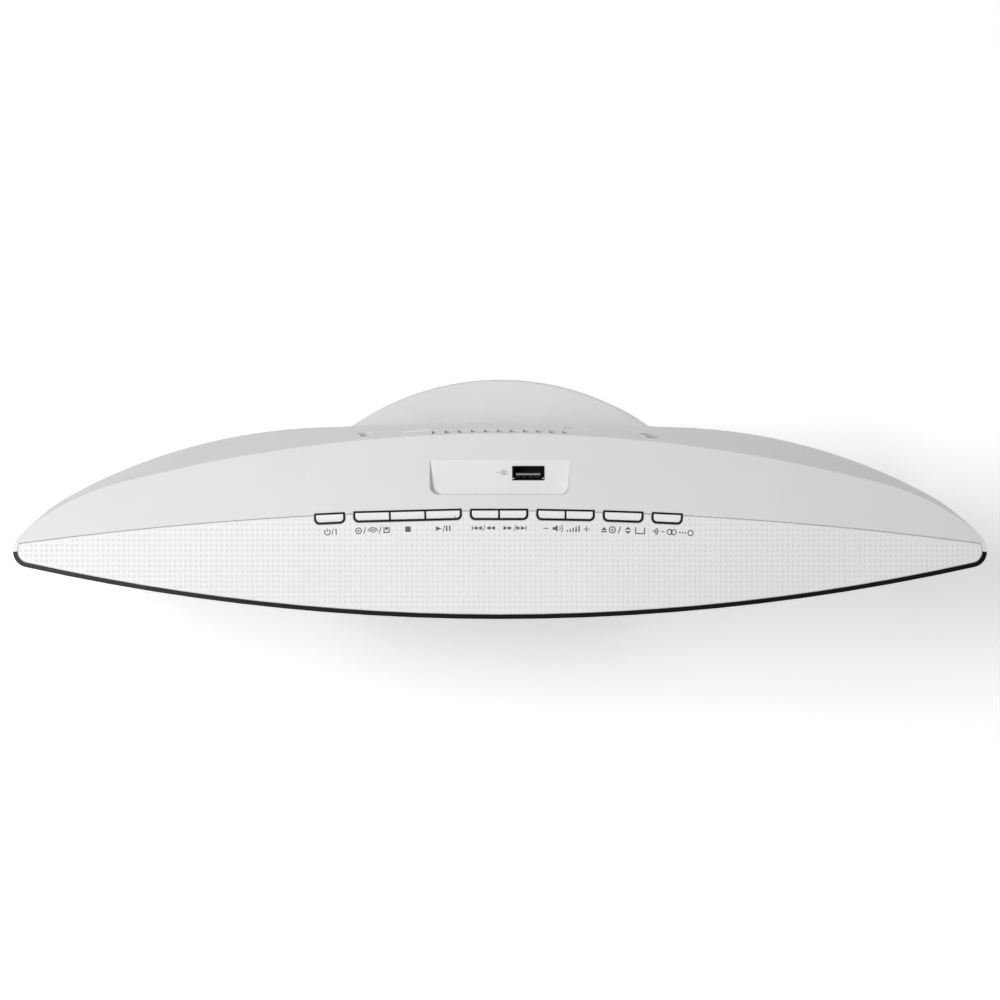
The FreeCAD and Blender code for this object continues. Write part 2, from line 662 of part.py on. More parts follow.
def button_openings(high):
    """Room for each collar in the shoulder, and for the rail under the ledge."""
    gap, deep = value("fit_gap"), value("button_room")
    openings = [moved(group_block(width, gap / 2, high - deep, high + 1), place)
                for place, width, _ in group_places()]
    half = group_span() + gap
    under = high - value("panel_thick")
    span = block((-half, value(FRONT), high - deep), (half, value("crease_depth"), under))
    slot = column(value("line_radius") + gap / 2, high - deep, high + 1, line_axis())
    return openings + [slot.common(span)]


def panel_openings():
    """The seats of the two panels, and the open space between the ledges."""
    wall, thick = value("wall"), value("panel_thick")
    low, high = value(FLOOR), value(TOP)
    inner = value("line_radius - ledge_width")
    openings = []
    for base, top, hole_low, hole_high in ((high - thick, high + 1, high - 20, high),
                                           (low - 1, low + thick, low, low + 20)):
        openings.append(panel_plan(value("bezel_thick"), 0, base, top))
        hole = prism(wall * 0.75, hole_low, hole_high)
        openings.append(hole.common(column(inner, hole_low, hole_high, line_axis())))
    return openings


def make_rear_cabinet():
    """The main shell: shoulders, rear wall, panel ledges, USB recess, screw bosses and board posts."""
    low, high, floor = value(FLOOR), value(TOP), recess_floor()
    shape = outer_skin.cut(inner_skin).fuse(rear_extras())
    head, thread = value("screw_head_radius + fit_gap * 3"), value("screw_radius + fit_gap / 2")
    front, rear = value(FRONT), value("bulge_depth")
    cutters = rear_openings()
    cutters += [rod(head, x, z, screw_seat_y(), rear) for x, z in screw_places()]
    cutters += [rod(thread, x, z, front, rear) for x, z in screw_places()]
    cutters += [recess_block(0, floor, high + 1), usb_opening(floor, high)]
    cutters += button_openings(high) + panel_openings()
    half = value("body_width")
    cutters.append(block((-half, front - 1, low - 1), (half, tip_line_y, high + 1)))
    for cutter in cutters:
        shape = shape.cut(cutter)
    subpart(solid(healed(shape), "rear_cabinet"), "rear_cabinet")


def front_space(inset, low, high, radius):
    """The part of the outline prism in front of the parting line and inside a radius of the front axis."""
    half = value("body_width")
    space = prism(inset, low, high).common(block((-half, value(FRONT) - 1, low), (half, tip_line_y, high)))
    return space.common(column(radius, low, high, front_axis))


def door_rail_and_post():
    """The rail under the door, its runner behind the right grille and the post beside the left one."""
    low, high = value(FLOOR), value(TOP)
    thick, wall, gap = value("panel_thick"), value("wall"), value("fit_gap")
    half, reach = value("door_width / 2 + column_gap"), value("body_width / 2 - bezel_side")
    root, lip, face = value(BAFFLE_OUT) - 1, value(LIP_OUT) - gap, value("total_depth")
    rail_low, rail_high = value(RAIL_Z), value(f"{RAIL_Z} + door_rail")
    rail = column(value("front_radius - grille_inset"), rail_low, rail_high, front_axis)
    rail = rail.cut(column(root, rail_low, rail_high, front_axis))
    strip = rail.common(block((-half, value(FRONT) - 1, rail_low), (half, face, rail_high)))
    runner = rail.common(column(lip, rail_low, rail_high, front_axis))
    runner = runner.common(block((half - 1, value(FRONT) - 1, rail_low), (reach, face, rail_high)))
    post = column(lip, low + thick + wall - 1, high - thick - wall + 1, front_axis)
    post = post.cut(column(root, low, high, front_axis))
    left = -half - value("post_width")
    post = post.common(block((left, value(FRONT) - 1, low), (-half, face, high)))
    bezel_zone = column(value("front_radius - bezel_thick - fit_gap"), low, high, front_axis)
    return [strip, runner.common(bezel_zone), post.common(bezel_zone)]


def front_openings():
    """Holes through the baffle: disc well, display, door rack and pinion, drivers and ports."""
    disc_z, front = value(DISC_Z), value(FRONT)
    cutters = [rod(value(WELL_RADIUS), 0, disc_z, front - 1, 0)]
    half_w, half_h = value("display_width / 2"), value("display_height / 2")
    mid = value(f"{WINDOW_Z} + window_height / 2")
    cutters.append(block((-half_w, front - 1, mid - half_h), (half_w, 0, mid + half_h)))
    rack_low = value(f"{DOOR_Z} - slide_gap")
    rack_high = value(f"{DOOR_Z} + rack_body + 2.5 * gear_module + slide_gap")
    rack_left = value("fit_gap - door_width / 2 - column_gap")
    cutters.append(block((rack_left, front + 1, rack_low), (value(DOOR_END), 0, rack_high)))
    angle, spot = pinion_spot()
    swing = value(f"{PITCH_RADIUS} + 2 * gear_module")
    centre, outward = on_front(angle, value(f"{DOOR_IN} + slide_gap / 2"))
    hub = Vector(centre.x, centre.y, spot.z)
    cutters.append(Part.makeCylinder(swing, value("well_depth"), hub, outward * -1))
    for side in (-1, 1):
        centre, outward = on_front(side * driver_angle(), value(BAFFLE_OUT) + 5)
        for radius, z in ((value("cone_radius + 4.5"), driver_z()), (value("port_radius"), port_z())):
            cutters.append(Part.makeCylinder(radius, 20, Vector(centre.x, centre.y, z), outward * -1))
    return cutters


def make_front_cabinet():
    """Baffle, door channel, door rail and grille post in one moulding."""
    wall, thick, gap = value("wall"), value("panel_thick"), value("fit_gap")
    low, high = value(FLOOR), value(TOP)
    out, inner = value(BAFFLE_OUT), value(BAFFLE_IN)
    inset = value("bezel_thick") + gap
    frame = front_space(inset, low + thick, high - thick, value("front_radius"))
    channel = front_space(0, low + thick + wall, high - thick - wall, value("front_radius"))
    channel = channel.cut(column(out, low, high, front_axis))
    hollow = front_space(inset + wall, low + thick + wall, high - thick - wall, inner)
    shape = frame.cut(channel).cut(hollow).fuse(door_rail_and_post())
    for cutter in front_openings():
        shape = shape.cut(cutter)
    boss, foot = value("boss_radius"), low + thick + wall
    bosses = [rod(boss, x, z, value(f"{FRONT} + well_depth / 2"), 0) for x, z in screw_places()]
    bosses += [column(boss, foot - 1, foot + boss, Vector(x, stand_screw_y(), 0)) for x in stand_screw_x()]
    behind = front_space(inset, low + thick, high - thick, inner + 1)
    shape = shape.fuse([made.common(behind) for made in bosses])
    thread = value("screw_radius") + gap / 2
    threads = [rod(thread, x, z, value(f"{FRONT} + 10"), 0) for x, z in screw_places()]
    threads += [column(thread, low, foot + boss, Vector(x, stand_screw_y(), 0)) for x in stand_screw_x()]
    for hole in threads:
        shape = shape.cut(hole)
    subpart(solid(shape.removeSplitter(), "front_cabinet"), "front_cabinet")


def on_front(angle, radius):
    """A point at an angle round the front axis, and the outward direction there."""
    turn = math.radians(angle)
    outward = Vector(math.sin(turn), -math.cos(turn), 0)
    return front_axis + outward * radius, outward


DOOR_END = "(door_width / 2 + door_travel + 4)"


def make_bezel():
    """The dark band round the front: a wall that follows the tips, open in the middle, with an inner lip."""
    low, high = value(FLOOR), value(TOP)
    thick, rail = value("bezel_thick"), value("bezel_rail")
    half = value("body_width")
    outer = prism(0, low, high).cut(prism(thick, low, high))
    outer = outer.common(block((-half, value(FRONT) - 1, low), (half, tip_line_y, high)))
    reach = value("body_width / 2 - bezel_side")
    lip = value("lip_width")
    opening = block((-reach, value(FRONT) - 1, low + rail), (reach, 0, high - rail))
    inner = block((-reach + lip, value(FRONT) - 1, low + rail + lip), (reach - lip, 0, high - rail - lip))
    rim = outer.common(column(value(LIP_OUT), low, high, front_axis)).common(opening).cut(inner)
    shape = outer.cut(opening).fuse(rim).removeSplitter()
    subpart(solid(shape, "front_bezel"), "front_bezel")


def make_grilles():
    """Two curved sheets that fill the bezel's opening beside the door."""
    outer = "(front_radius - grille_inset)"
    inner = f"({outer} - grille_thick)"
    reach = "(body_width / 2 - bezel_side - fit_gap)"
    near = "(door_width / 2 + column_gap)"
    low, high = "body_lift + bezel_rail + fit_gap", f"{TOP} - bezel_rail - fit_gap"
    subpart(arc_plate(outer, inner, f"-{reach}", f"-{near}", low, high), "speaker_grille_left")
    subpart(arc_plate(outer, inner, near, reach, low, high), "speaker_grille_right")


def make_display():
    """The smoked window under the door and the display module behind the baffle."""
    half = "(door_width / 2)"
    face = "(front_radius - grille_inset)"
    window = arc_plate(face, f"{face} - window_thick", f"-{half}", half,
                       WINDOW_Z, f"{WINDOW_Z} + window_height")
    mouth = box((f"-{half} - 1", f"{FRONT} - 1", f"{WINDOW_Z} - 1"),
                (f"{half} + 1", f"{FRONT} + 90", f"{WINDOW_Z} + lip_width + fit_gap"))
    lipped = common(mouth, cylinder(f"{face} - grille_thick", "window_height", 0, ARC_Y, WINDOW_Z))
    subpart(cut(window, lipped), "display_window")
    mid = f"({WINDOW_Z} + window_height / 2)"
    near = f"{FRONT} + front_radius - {BAFFLE_OUT} + 2"
    across, up = "(display_width / 2 - fit_gap)", "(display_height / 2 - fit_gap)"
    module = box((f"-{across}", near, f"{mid} - {up}"), (across, f"{near} + display_thick", f"{mid} + {up}"))
    subpart(module, "display_module")


# ---------------------------------------------------------------- door and gears

def tooth_widths():
    """Half the tooth's width at its root, at the pitch line and at its tip."""
    pitch = math.pi * value("gear_module")
    middle = pitch / 4 - value("gear_backlash / 2")
    return middle * WIDE_SHARE, middle, middle * NARROW_SHARE


def pinion_spot():
    """The door pinion's place: under the rack, where the rack still reaches at both ends of travel."""
    angle = math.degrees(math.asin(value("door_travel / 2") / value(DOOR_IN)))
    centre, _ = on_front(angle, value(f"{DOOR_IN} - gear_face / 2"))
    pitch_line = value(f"{DOOR_Z} + gear_module")
    return angle, Vector(centre.x, centre.y, pitch_line - value(PITCH_RADIUS))


def rack_tooth(x, y, low, root, depth):
    """One straight-sided tooth that points down from a rack's root line."""
    wide, _, narrow = tooth_widths()
    tip, sunk = low + RACK_TIP * value("gear_module"), root + 0.2
    corners = [(-wide, sunk), (-wide, root), (-narrow, tip), (narrow, tip), (wide, root), (wide, sunk)]
    points = [Vector(x + dx, y, z) for dx, z in corners]
    return Part.Face(Part.makePolygon(points + points[:1])).extrude(Vector(0, depth, 0))


def make_door():
    """The curved door with a toothed rack behind its lower edge."""
    low, high = value(DOOR_Z), value(DOOR_TOP)
    outer, inner = value(DOOR_OUT), value(DOOR_IN)
    half = value("door_width / 2")
    face = value("total_depth")
    plate = column(outer, low, high, front_axis).cut(column(inner, low, high, front_axis))
    plate = plate.common(block((-half, value(FRONT), low), (half, face, high)))
    module, back = value("gear_module"), inner - value("gear_face")
    root = low + RACK_ROOT * module
    top = root + value("rack_body")
    strip = column(inner + 0.5, low, top, front_axis).cut(column(back, low, top, front_axis))
    strip = strip.common(block((-half, value(FRONT), root), (half, face, top)))
    wide = tooth_widths()[0]
    radius = inner - value("gear_face / 2")
    step = math.degrees(math.pi * module / radius)
    start, _ = pinion_spot()
    teeth = []
    for i in range(-60, 61):
        angle = start + i * step
        if abs(math.sin(math.radians(angle)) * radius) > half - wide:
            continue
        tooth = rack_tooth(0, front_axis.y - back, low, root, back - inner - 0.3)
        tooth.rotate(front_axis, Vector(0, 0, 1), angle)
        teeth.append(tooth)
    shape = plate.fuse([strip] + teeth).removeSplitter()
    subpart(solid(shape, "disc_door"), "disc_door")


def make_pinion(name, placement, shaft_length):
    """A toothed wheel on a shaft: root disc, one tooth repeated round it, and the shaft behind."""
    wide, _, narrow = tooth_widths()
    body = new_body(name, placement)
    disc = body.newObject("PartDesign::AdditiveCylinder", "RootDisc")
    bind(disc, Radius=f"{PITCH_RADIUS} - {ROOT_DISC} * gear_module", Height="gear_face - 2 * fit_gap")
    tooth = body.newObject("PartDesign::Pad", "Tooth")
    root, tip = f"{PITCH_RADIUS} - {TOOTH_ROOT} * gear_module", f"{PITCH_RADIUS} + {TOOTH_TIP} * gear_module"
    corners = [(root, -wide), (tip, -narrow), (tip, narrow), (root, wide)]
    tooth.Profile = outline_sketch(body, "XY_Plane", corners)
    bind(tooth, Length="gear_face - 2 * fit_gap")
    ring = body.newObject("PartDesign::PolarPattern", "Teeth")
    ring.Originals = [tooth]
    z_axis = next(f for f in body.Origin.OriginFeatures if f.Role == "Z_Axis")
    ring.Axis = (z_axis, [""])
    ring.Angle = 360
    bind(ring, Occurrences="pinion_teeth")
    body.Tip = ring
    shaft = body.newObject("PartDesign::AdditiveCylinder", "Shaft")
    bind(shaft, Radius="shaft_radius", Height=shaft_length)
    body.Tip = shaft
    return subpart(body, name)


def facing_back(point, angle, spin=0.0):
    """A placement whose Z axis points to the rear at an angle round the front axis."""
    return Placement(point, Rotation(Vector(0, 0, 1), angle) * Rotation(Vector(1, 0, 0), -90)
                     * Rotation(Vector(0, 0, 1), spin))


def gap_up():
    """The spin that puts a gap between teeth at the top of a pinion that faces back."""
    return -90 + 180 / value("pinion_teeth")


def make_motor(name, spot, angle, gear_length, motor_gap):
    """A round can motor behind a pinion, bored for its shaft."""
    placement = facing_back(spot, angle)
    near = f"gear_face + {motor_gap}"
    far = f"{near} + {gear_length}"
    bore = "shaft_radius + running_gap"
    points = [(bore, near), ("small_motor_radius", near), ("small_motor_radius", far), (bore, far)]
    return subpart(turned(name, points, placement), name)


def make_door_drive():
    angle, spot = pinion_spot()
    radial = on_front(angle, 1)[1]
    start = spot + radial * value("gear_face / 2 - fit_gap")
    make_pinion("door_pinion", facing_back(start, angle, gap_up()), "gear_face + small_motor_length")
    make_motor("door_motor", start, angle, "small_motor_length", "slide_gap")


# ---------------------------------------------------------------- disc well and mechanism

def make_disc_well():
    """The round well behind the door, on a square plate with four bolt posts."""
    depth, plate = value(f"{FRONT} + well_depth"), value("wall")
    radius, wall = value(WELL_RADIUS), value("well_wall")
    z, half = value(DISC_Z), value("well_plate_half")
    ring = rod(radius + wall, 0, z, value(FRONT), depth + plate).cut(rod(radius, 0, z, value(FRONT), depth))
    ring = ring.common(column(value(f"{BAFFLE_IN} - fit_gap / 2"), z - half, z + half, front_axis))
    floor = block((-half, depth, z - half), (half, depth + plate, z + half))
    posts = [rod(value("damper_radius - 1"), x, y, depth, value(f"{FRONT} + chassis_depth - damper_length"))
             for x, y in damper_places()]
    shape = ring.fuse([floor] + posts)
    slot = value("lens_radius + 5")
    inner, outer = value("turntable_radius - 2"), value("sled_inner + sled_width + sled_travel - 4")
    cutters = [rod(value("turntable_radius + 1"), 0, z, value(FRONT), 0),
               block((-outer, value(FRONT), z - slot), (-inner, 0, z + slot))]
    cutters += [rod(value("damper_bolt_radius - fit_gap"), x, y, depth + 1, 0) for x, y in damper_places()]
    for cutter in cutters:
        shape = shape.cut(cutter)
    subpart(solid(shape.removeSplitter(), "disc_well"), "disc_well")


def damper_places():
    z = value(DISC_Z)
    rise = value("chassis_half - damper_radius - 1.5")
    left, right = value("chassis_left - 12"), value("chassis_right - damper_radius - 1.5")
    return [(x, z + s * rise) for x in (-left, right) for s in (-1, 1)]


def make_chassis():
    """The steel mechanism plate with its sled window, rod clamps and motor holes."""
    near = value(f"{FRONT} + chassis_depth")
    far = near + value("chassis_thick")
    z = value(DISC_Z)
    left, right, half = value("chassis_left"), value("chassis_right"), value("chassis_half")
    shape = block((-left, near, z - half), (right, far, z + half))
    rod_y, rod_z = value(f"{FRONT} + rod_depth"), value("rod_offset")
    clamps = []
    for x in (rod_span()[0] - 0.5, rod_span()[1] - 2.5):
        for side in (-1, 1):
            base = z + side * rod_z
            clamps.append(block((x, rod_y - 3, base - 2.5), (x + 3, near + 0.5, base + 2.5)))
    shape = shape.fuse(clamps)
    cutters = []
    for side in (-1, 1):
        cutters.append(Part.makeCylinder(value("rod_radius"), rod_span()[1] - rod_span()[0],
                                         Vector(rod_span()[0], rod_y, z + side * rod_z), Vector(1, 0, 0)))
    bolt = value("damper_bolt_radius + fit_gap")
    cutters += [rod(bolt, x, y, near - 1, far + 1) for x, y in damper_places()]
    cutters.append(rod(value("shaft_radius + fit_gap"), 0, z, near - 1, far + 1))
    spot = sled_pinion_spot()
    cutters.append(rod(value("shaft_radius + 1"), spot.x, spot.z, near - 1, far + 1))
    for cutter in cutters:
        shape = shape.cut(cutter)
    subpart(solid(shape.removeSplitter(), "mechanism_chassis"), "mechanism_chassis")


def rod_span():
    """The left and right ends of the guide rods."""
    return -value("chassis_left - 1"), -value("sled_inner - 4")


def make_mechanism_rods():
    low, high = rod_span()
    z = value(DISC_Z)
    rods = [Part.makeCylinder(value("rod_radius - fit_gap / 2"), high - low,
                              Vector(low, value(f"{FRONT} + rod_depth"), z + side * value("rod_offset")),
                              Vector(1, 0, 0)) for side in (-1, 1)]
    subpart(solid(Part.makeCompound(rods), "guide_rods"), "guide_rods")


def make_dampers():
    """Four grooved rubber dampers with their shoulder bolts' holes."""
    length, radius = "damper_length", "damper_radius"
    hole = "damper_bolt_radius + fit_gap"
    dampers = []
    for x, z in damper_places():
        spot = Vector(x, value(f"{FRONT} + chassis_depth - damper_length"), z)
        points = [(hole, "0"), (radius, "0"), (radius, f"{length} * 0.35"),
                  (f"{radius} * 0.75", f"{length} * 0.45"), (f"{radius} * 0.75", f"{length} * 0.55"),
                  (radius, f"{length} * 0.65"), (radius, length), (hole, length)]
        dampers.append(turned("damper", points, facing_back(spot, 0)))
    grouped("Dampers", dampers, "chassis_dampers")


def make_spindle():
    """The disc motor in front of the chassis and the turntable that rides on its shaft."""
    z = value(DISC_Z)
    foot = Vector(0, value(f"{FRONT} + disc_plane"), z)
    motor_near = "(chassis_depth - spindle_motor_length - disc_plane)"
    motor_far = "(chassis_depth - disc_plane)"
    bore = "shaft_radius + running_gap"
    points = [(bore, motor_near), ("spindle_motor_radius - 1", motor_near),
              ("spindle_motor_radius", f"{motor_near} + 1"), ("spindle_motor_radius", motor_far),
              (bore, motor_far)]
    subpart(turned("spindle_motor", points, facing_back(foot, 0)), "spindle_motor")
    under = f"{motor_near} - slide_gap"
    points = [("0", "-hub_height"), ("hub_radius - 2", "-hub_height"), ("hub_radius", "-hub_height + 2"),
              ("hub_radius", "0"), ("turntable_radius", "0"), ("turntable_radius", "1.6"), ("6", "1.6"),
              ("6", under), ("shaft_radius", under), ("shaft_radius", f"{motor_far} + chassis_thick"),
              ("0", f"{motor_far} + chassis_thick")]
    subpart(turned("turntable", points, facing_back(foot, 0)), "turntable")


def sled_rack_foot():
    return value(f"{DISC_Z} - sled_half - {RACK_FALL} * gear_module")


def sled_pinion_spot():
    """The sled pinion's centre, under the sled's rack."""
    pitch_line = sled_rack_foot() + value("gear_module")
    depth = value(f"{FRONT} + rod_depth")
    return Vector(-value("sled_pinion_place"), depth, pitch_line - value(PITCH_RADIUS))


def make_sled():
    """The pickup sled on its two rods, with a lens turret and a rack along its lower edge."""
    z = value(DISC_Z)
    inner = -value("sled_inner")
    left = inner - value("sled_width")
    mid_y, half_t = value(f"{FRONT} + rod_depth"), value("sled_thick / 2")
    half = value("sled_half")
    body = block((left, mid_y - half_t, z - half), (inner, mid_y + half_t, z + half))
    lens_x = inner - value("lens_offset")
    turret = rod(value("lens_radius + 1.5"), lens_x, z, value(f"{FRONT} + disc_plane + 2.6"), mid_y)
    module = value("gear_module")
    rack_low = sled_rack_foot()
    root = rack_low + RACK_ROOT * module
    face = value("gear_face / 2")
    spot = sled_pinion_spot()
    pitch = math.pi * module
    rack_right = spot.x + value("sled_travel") + 1.5 * pitch
    rack_left = spot.x - 1.5 * pitch
    strip = block((rack_left, mid_y - face, root), (rack_right, mid_y + face, z - half + 0.5))
    teeth = [rack_tooth(spot.x + i * pitch, mid_y - face, rack_low, root, 2 * face)
             for i in range(-1, int(value("sled_travel") / pitch) + 2)]
    shape = body.fuse([turret, strip] + teeth)
    for side in (-1, 1):
        hole = Part.makeCylinder(value("rod_radius + running_gap - fit_gap / 2"), 200,
                                 Vector(left - 50, mid_y, z + side * value("rod_offset")), Vector(1, 0, 0))
        shape = shape.cut(hole)
    face = value(f"{FRONT} + disc_plane")
    well = rod(value("lens_radius"), lens_x, z, face, face + 4)
    subpart(solid(shape.cut(well).removeSplitter(), "pickup_sled"), "pickup_sled")
    lens_at = Vector(lens_x, value(f"{FRONT} + disc_plane + 2"), z)
    points = [("0", "0"), ("lens_radius * 0.5", "0.2"), ("lens_radius * 0.9", "0.9"),
              ("lens_radius * 0.9", "2"), ("0", "2")]
    subpart(turned("pickup_lens", points, facing_back(lens_at, 0)), "pickup_lens")
    start = spot - Vector(0, value("gear_face / 2 - fit_gap"), 0)
    shaft = "chassis_depth + chassis_thick - rod_depth + gear_face / 2 + small_motor_length / 2"
    make_pinion("sled_pinion", facing_back(start, 0, gap_up()), shaft)
    to_back = "chassis_depth + chassis_thick - rod_depth - gear_face / 2 - fit_gap"
    make_motor("sled_motor", start, 0, "small_motor_length", to_back)


# ---------------------------------------------------------------- speakers

def driver_angle():
    """The angle round the front axis of the middle of each speaker box."""
    middle = value("(box_inner + body_width / 2 - box_tip) / 2")
    return math.degrees(math.asin(middle / value("front_radius")))


def box_heights():
    return value("body_lift + box_foot"), value(f"{TOP} - box_head")


def driver_z():
    low, high = box_heights()
    return high - value("driver_rise") - (high - low) * 0.12


def port_z():
    low, _ = box_heights()
    return low + value("port_radius") + value("box_wall") * 4


def box_space(side, inset, shrink):
    """The space a speaker box takes inside the cabinet."""
    low, high = box_heights()
    near, far = value("box_inner") + shrink, value("body_width / 2 - box_tip") - shrink
    xs = sorted((side * near, side * far))
    span = block((xs[0], value(FRONT), low + shrink), (xs[1], value("total_depth"), high - shrink))
    return skin(inset).common(span)


def front_slab(side, shrink, low, high, reach):
    """A block over one speaker box from in front of the body to a set depth."""
    near, far = value("box_inner") + shrink, value("body_width / 2 - box_tip") - shrink
    xs = sorted((side * near, side * far))
    return block((xs[0], value(FRONT) - 1, low), (xs[1], value(FRONT) + reach, high))


def port_tube(side):
    """The reflex port's tube on a web that stands on the box's floor, and the bore to cut from it."""
    centre, outward = on_front(side * driver_angle(), value(BAFFLE_IN) - value("fit_gap") * 3)
    spot, length = Vector(centre.x, centre.y, port_z()), value("port_length")
    tube = Part.makeCylinder(value("port_radius + box_wall"), length, spot, outward * -1)
    web = block((-1, 0, box_heights()[0]), (1, length - 6, port_z() - value("port_radius")))
    foot = Vector(centre.x, centre.y, 0) - outward * 3
    web.Placement = Placement(foot, Rotation(Vector(0, 0, 1), side * driver_angle()))
    return tube.fuse(web).cut(Part.makeCylinder(value("port_radius"), length, spot, outward * -1))


def make_speaker_box(side, name):
    """A box that follows the cabinet's rear wall, open to the baffle, with its reflex port."""
    gap, wall = value("wall + fit_gap * 5"), value("box_wall")
    low, high = box_heights()
    sealed = box_space(side, gap + wall, wall)
    shape = box_space(side, gap, 0).cut(sealed)
    inner = value(BAFFLE_IN) - value("fit_gap")
    half = value("body_width")
    cover = block((-half, value(FRONT) - 1, low), (half, value(FRONT) + 60, high))
    shape = shape.cut(cover.cut(column(inner, low, high, front_axis)))
    mouth = front_slab(side, wall, low + wall, high - wall, 20).common(prism(value("wall"), low, high))
    shape = shape.cut(mouth.cut(sealed).common(column(inner + 3, low, high, front_axis)))
    subpart(solid(shape.fuse(port_tube(side)).removeSplitter(), name), name)


def make_driver(side, suffix):
    """One full-range driver: basket, magnet, roll surround and cone with its dust cap."""
    angle = side * driver_angle()
    centre, outward = on_front(angle, value(BAFFLE_IN) - 0.8)
    placement = facing_back(Vector(centre.x, centre.y, driver_z()), angle)
    basket = [("cone_radius + 4.2", "0"), ("driver_radius", "0"), ("driver_radius", "driver_flange"),
              ("cone_radius + 5.4", "driver_flange"), ("magnet_radius - 3", "basket_depth"),
              ("cone_neck + 2", "basket_depth"), ("cone_neck + 2", "basket_depth - 1.5"),
              ("magnet_radius - 4.2", "basket_depth - 1.5"), ("cone_radius + 4.2", "driver_flange - 0.6")]
    subpart(turned(f"driver_frame_{suffix}", basket, placement), f"driver_frame_{suffix}")
    near, far = "basket_depth + running_gap", "basket_depth + magnet_thick"
    magnet = [("0", f"{far} + 2"), ("0", "basket_depth - 1"), ("cone_neck - 2", "basket_depth - 1"),
              ("cone_neck - 2", far), ("cone_neck + 1.2", far), ("cone_neck + 1.2", near),
              ("magnet_radius", near), ("magnet_radius", far), ("magnet_radius - 2", f"{far} + 2")]
    subpart(turned(f"driver_magnet_{suffix}", magnet, placement), f"driver_magnet_{suffix}")
    cone = [("0", "1.4 + cone_travel"), ("cone_neck * 0.6", "2.4 + cone_travel"),
            ("cone_neck", "4.4 + cone_travel"),
            ("cone_radius", "cone_travel"), ("cone_radius", "cone_travel + 0.8"),
            ("cone_neck + 0.8", "cone_depth - 1"), ("cone_neck + 0.4", "basket_depth + 3"),
            ("cone_neck - 0.4", "basket_depth + 3"), ("cone_neck - 0.4", "6.4 + cone_travel"),
            ("0", "2.6 + cone_travel")]
    subpart(turned(f"driver_cone_{suffix}", cone, placement), f"driver_cone_{suffix}")
    near, far = "cone_radius + slide_gap", "cone_radius + 3.8"
    surround = [(near, "cone_travel"), (f"{near} + 0.5", "0.2"), ("cone_radius + 1.6", "-0.7"),
                ("cone_radius + 2.4", "-0.7"), (f"{far} - 0.5", "0.2"), (far, "0.9"), (far, "1.5"),
                (f"{far} - 0.8", "1.1"), ("cone_radius + 2.3", "0.1"), ("cone_radius + 1.7", "0.1"),
                (f"{near} + 0.5", "1.4"), (near, "cone_travel + 0.7")]
    subpart(turned(f"driver_surround_{suffix}", surround, placement), f"driver_surround_{suffix}")


# ---------------------------------------------------------------- electronics and sockets

def make_boards():
    depth = f"{FRONT} + main_board_depth"
    low, high = "body_lift + main_board_foot", f"{TOP} - main_board_head"
    half = "main_board_width / 2"
    main = box((f"-{half}", depth, low), (half, f"{depth} + board_thick", high))
    subpart(main, "main_board")
    behind = f"{depth} + board_thick"
    parts = [box((x, behind, f"body_lift + {z}"), (x + w, f"{behind} + {t}", f"body_lift + {z + tall}"))
             for (x, z), (w, tall), t in CHIPS]
    grouped("Chips", parts, "main_board_chips")
    back = f"{FRONT} + power_board_depth"
    foot = "body_lift + power_board_foot"
    half = "(power_board_width / 2)"
    board = box((f"-{half}", back, foot), (half, f"{back} + board_thick", f"{foot} + power_board_height"))
    subpart(board, "power_board")
    core = box((8, f"{back} - 22", f"{foot} + 6"), (40, back, f"{foot} + 32"))
    winding = box((12, f"{back} - 25", f"{foot} + 10"), (36, f"{back} - 1", f"{foot} + 28"))
    subpart(fuse(core, winding), "power_transformer")
    cans = [cylinder(r, f"{tall}", f"{x}", f"{back} - {tall}", f"{foot} + {z}", "Y")
            for x, z, r, tall in CANS]
    grouped("Cans", cans, "power_capacitors")
    plate = box((-50, f"{back} - 16", f"{foot} + 26"), (-34, back, f"{foot} + 29"))
    fins = [box((x, f"{back} - 16", f"{foot} + 28.5"), (x + FIN_THICK, back, f"{foot} + 38"))
            for x in FIN_PLACES]
    subpart(fuse(plate, *fins), "heat_sink")


def make_usb_socket():
    """An upright socket: folded metal shell, and an insulating core with its tongue."""
    x, y, floor = value("usb_place"), value(f"{FRONT} + usb_depth"), recess_floor()
    half_x, half_y, shell = value("usb_width / 2"), value("usb_height / 2"), value("usb_shell")
    low = floor - value("usb_length")
    case = block((x - half_x, y - half_y, low), (x + half_x, y + half_y, floor + shell))
    inner_x, inner_y = half_x - shell, half_y - shell
    hollow = block((x - inner_x, y - inner_y, low - 1), (x + inner_x, y + inner_y, floor + 1))
    subpart(solid(case.cut(hollow), "usb_socket_shell"), "usb_socket_shell")
    base = block((x - inner_x, y - inner_y, low), (x + inner_x, y + inner_y, low + 3))
    board_back = value(f"{FRONT} + main_board_depth + board_thick")
    foot = block((x - half_x, board_back, low - 4), (x + half_x, y + half_y, low))
    tongue = block((x - inner_x + 0.8, y - 1.5, low), (x + inner_x - 0.8, y + 0.4, floor - 1.2))
    subpart(solid(base.fuse([foot, tongue]).removeSplitter(), "usb_socket_core"), "usb_socket_core")


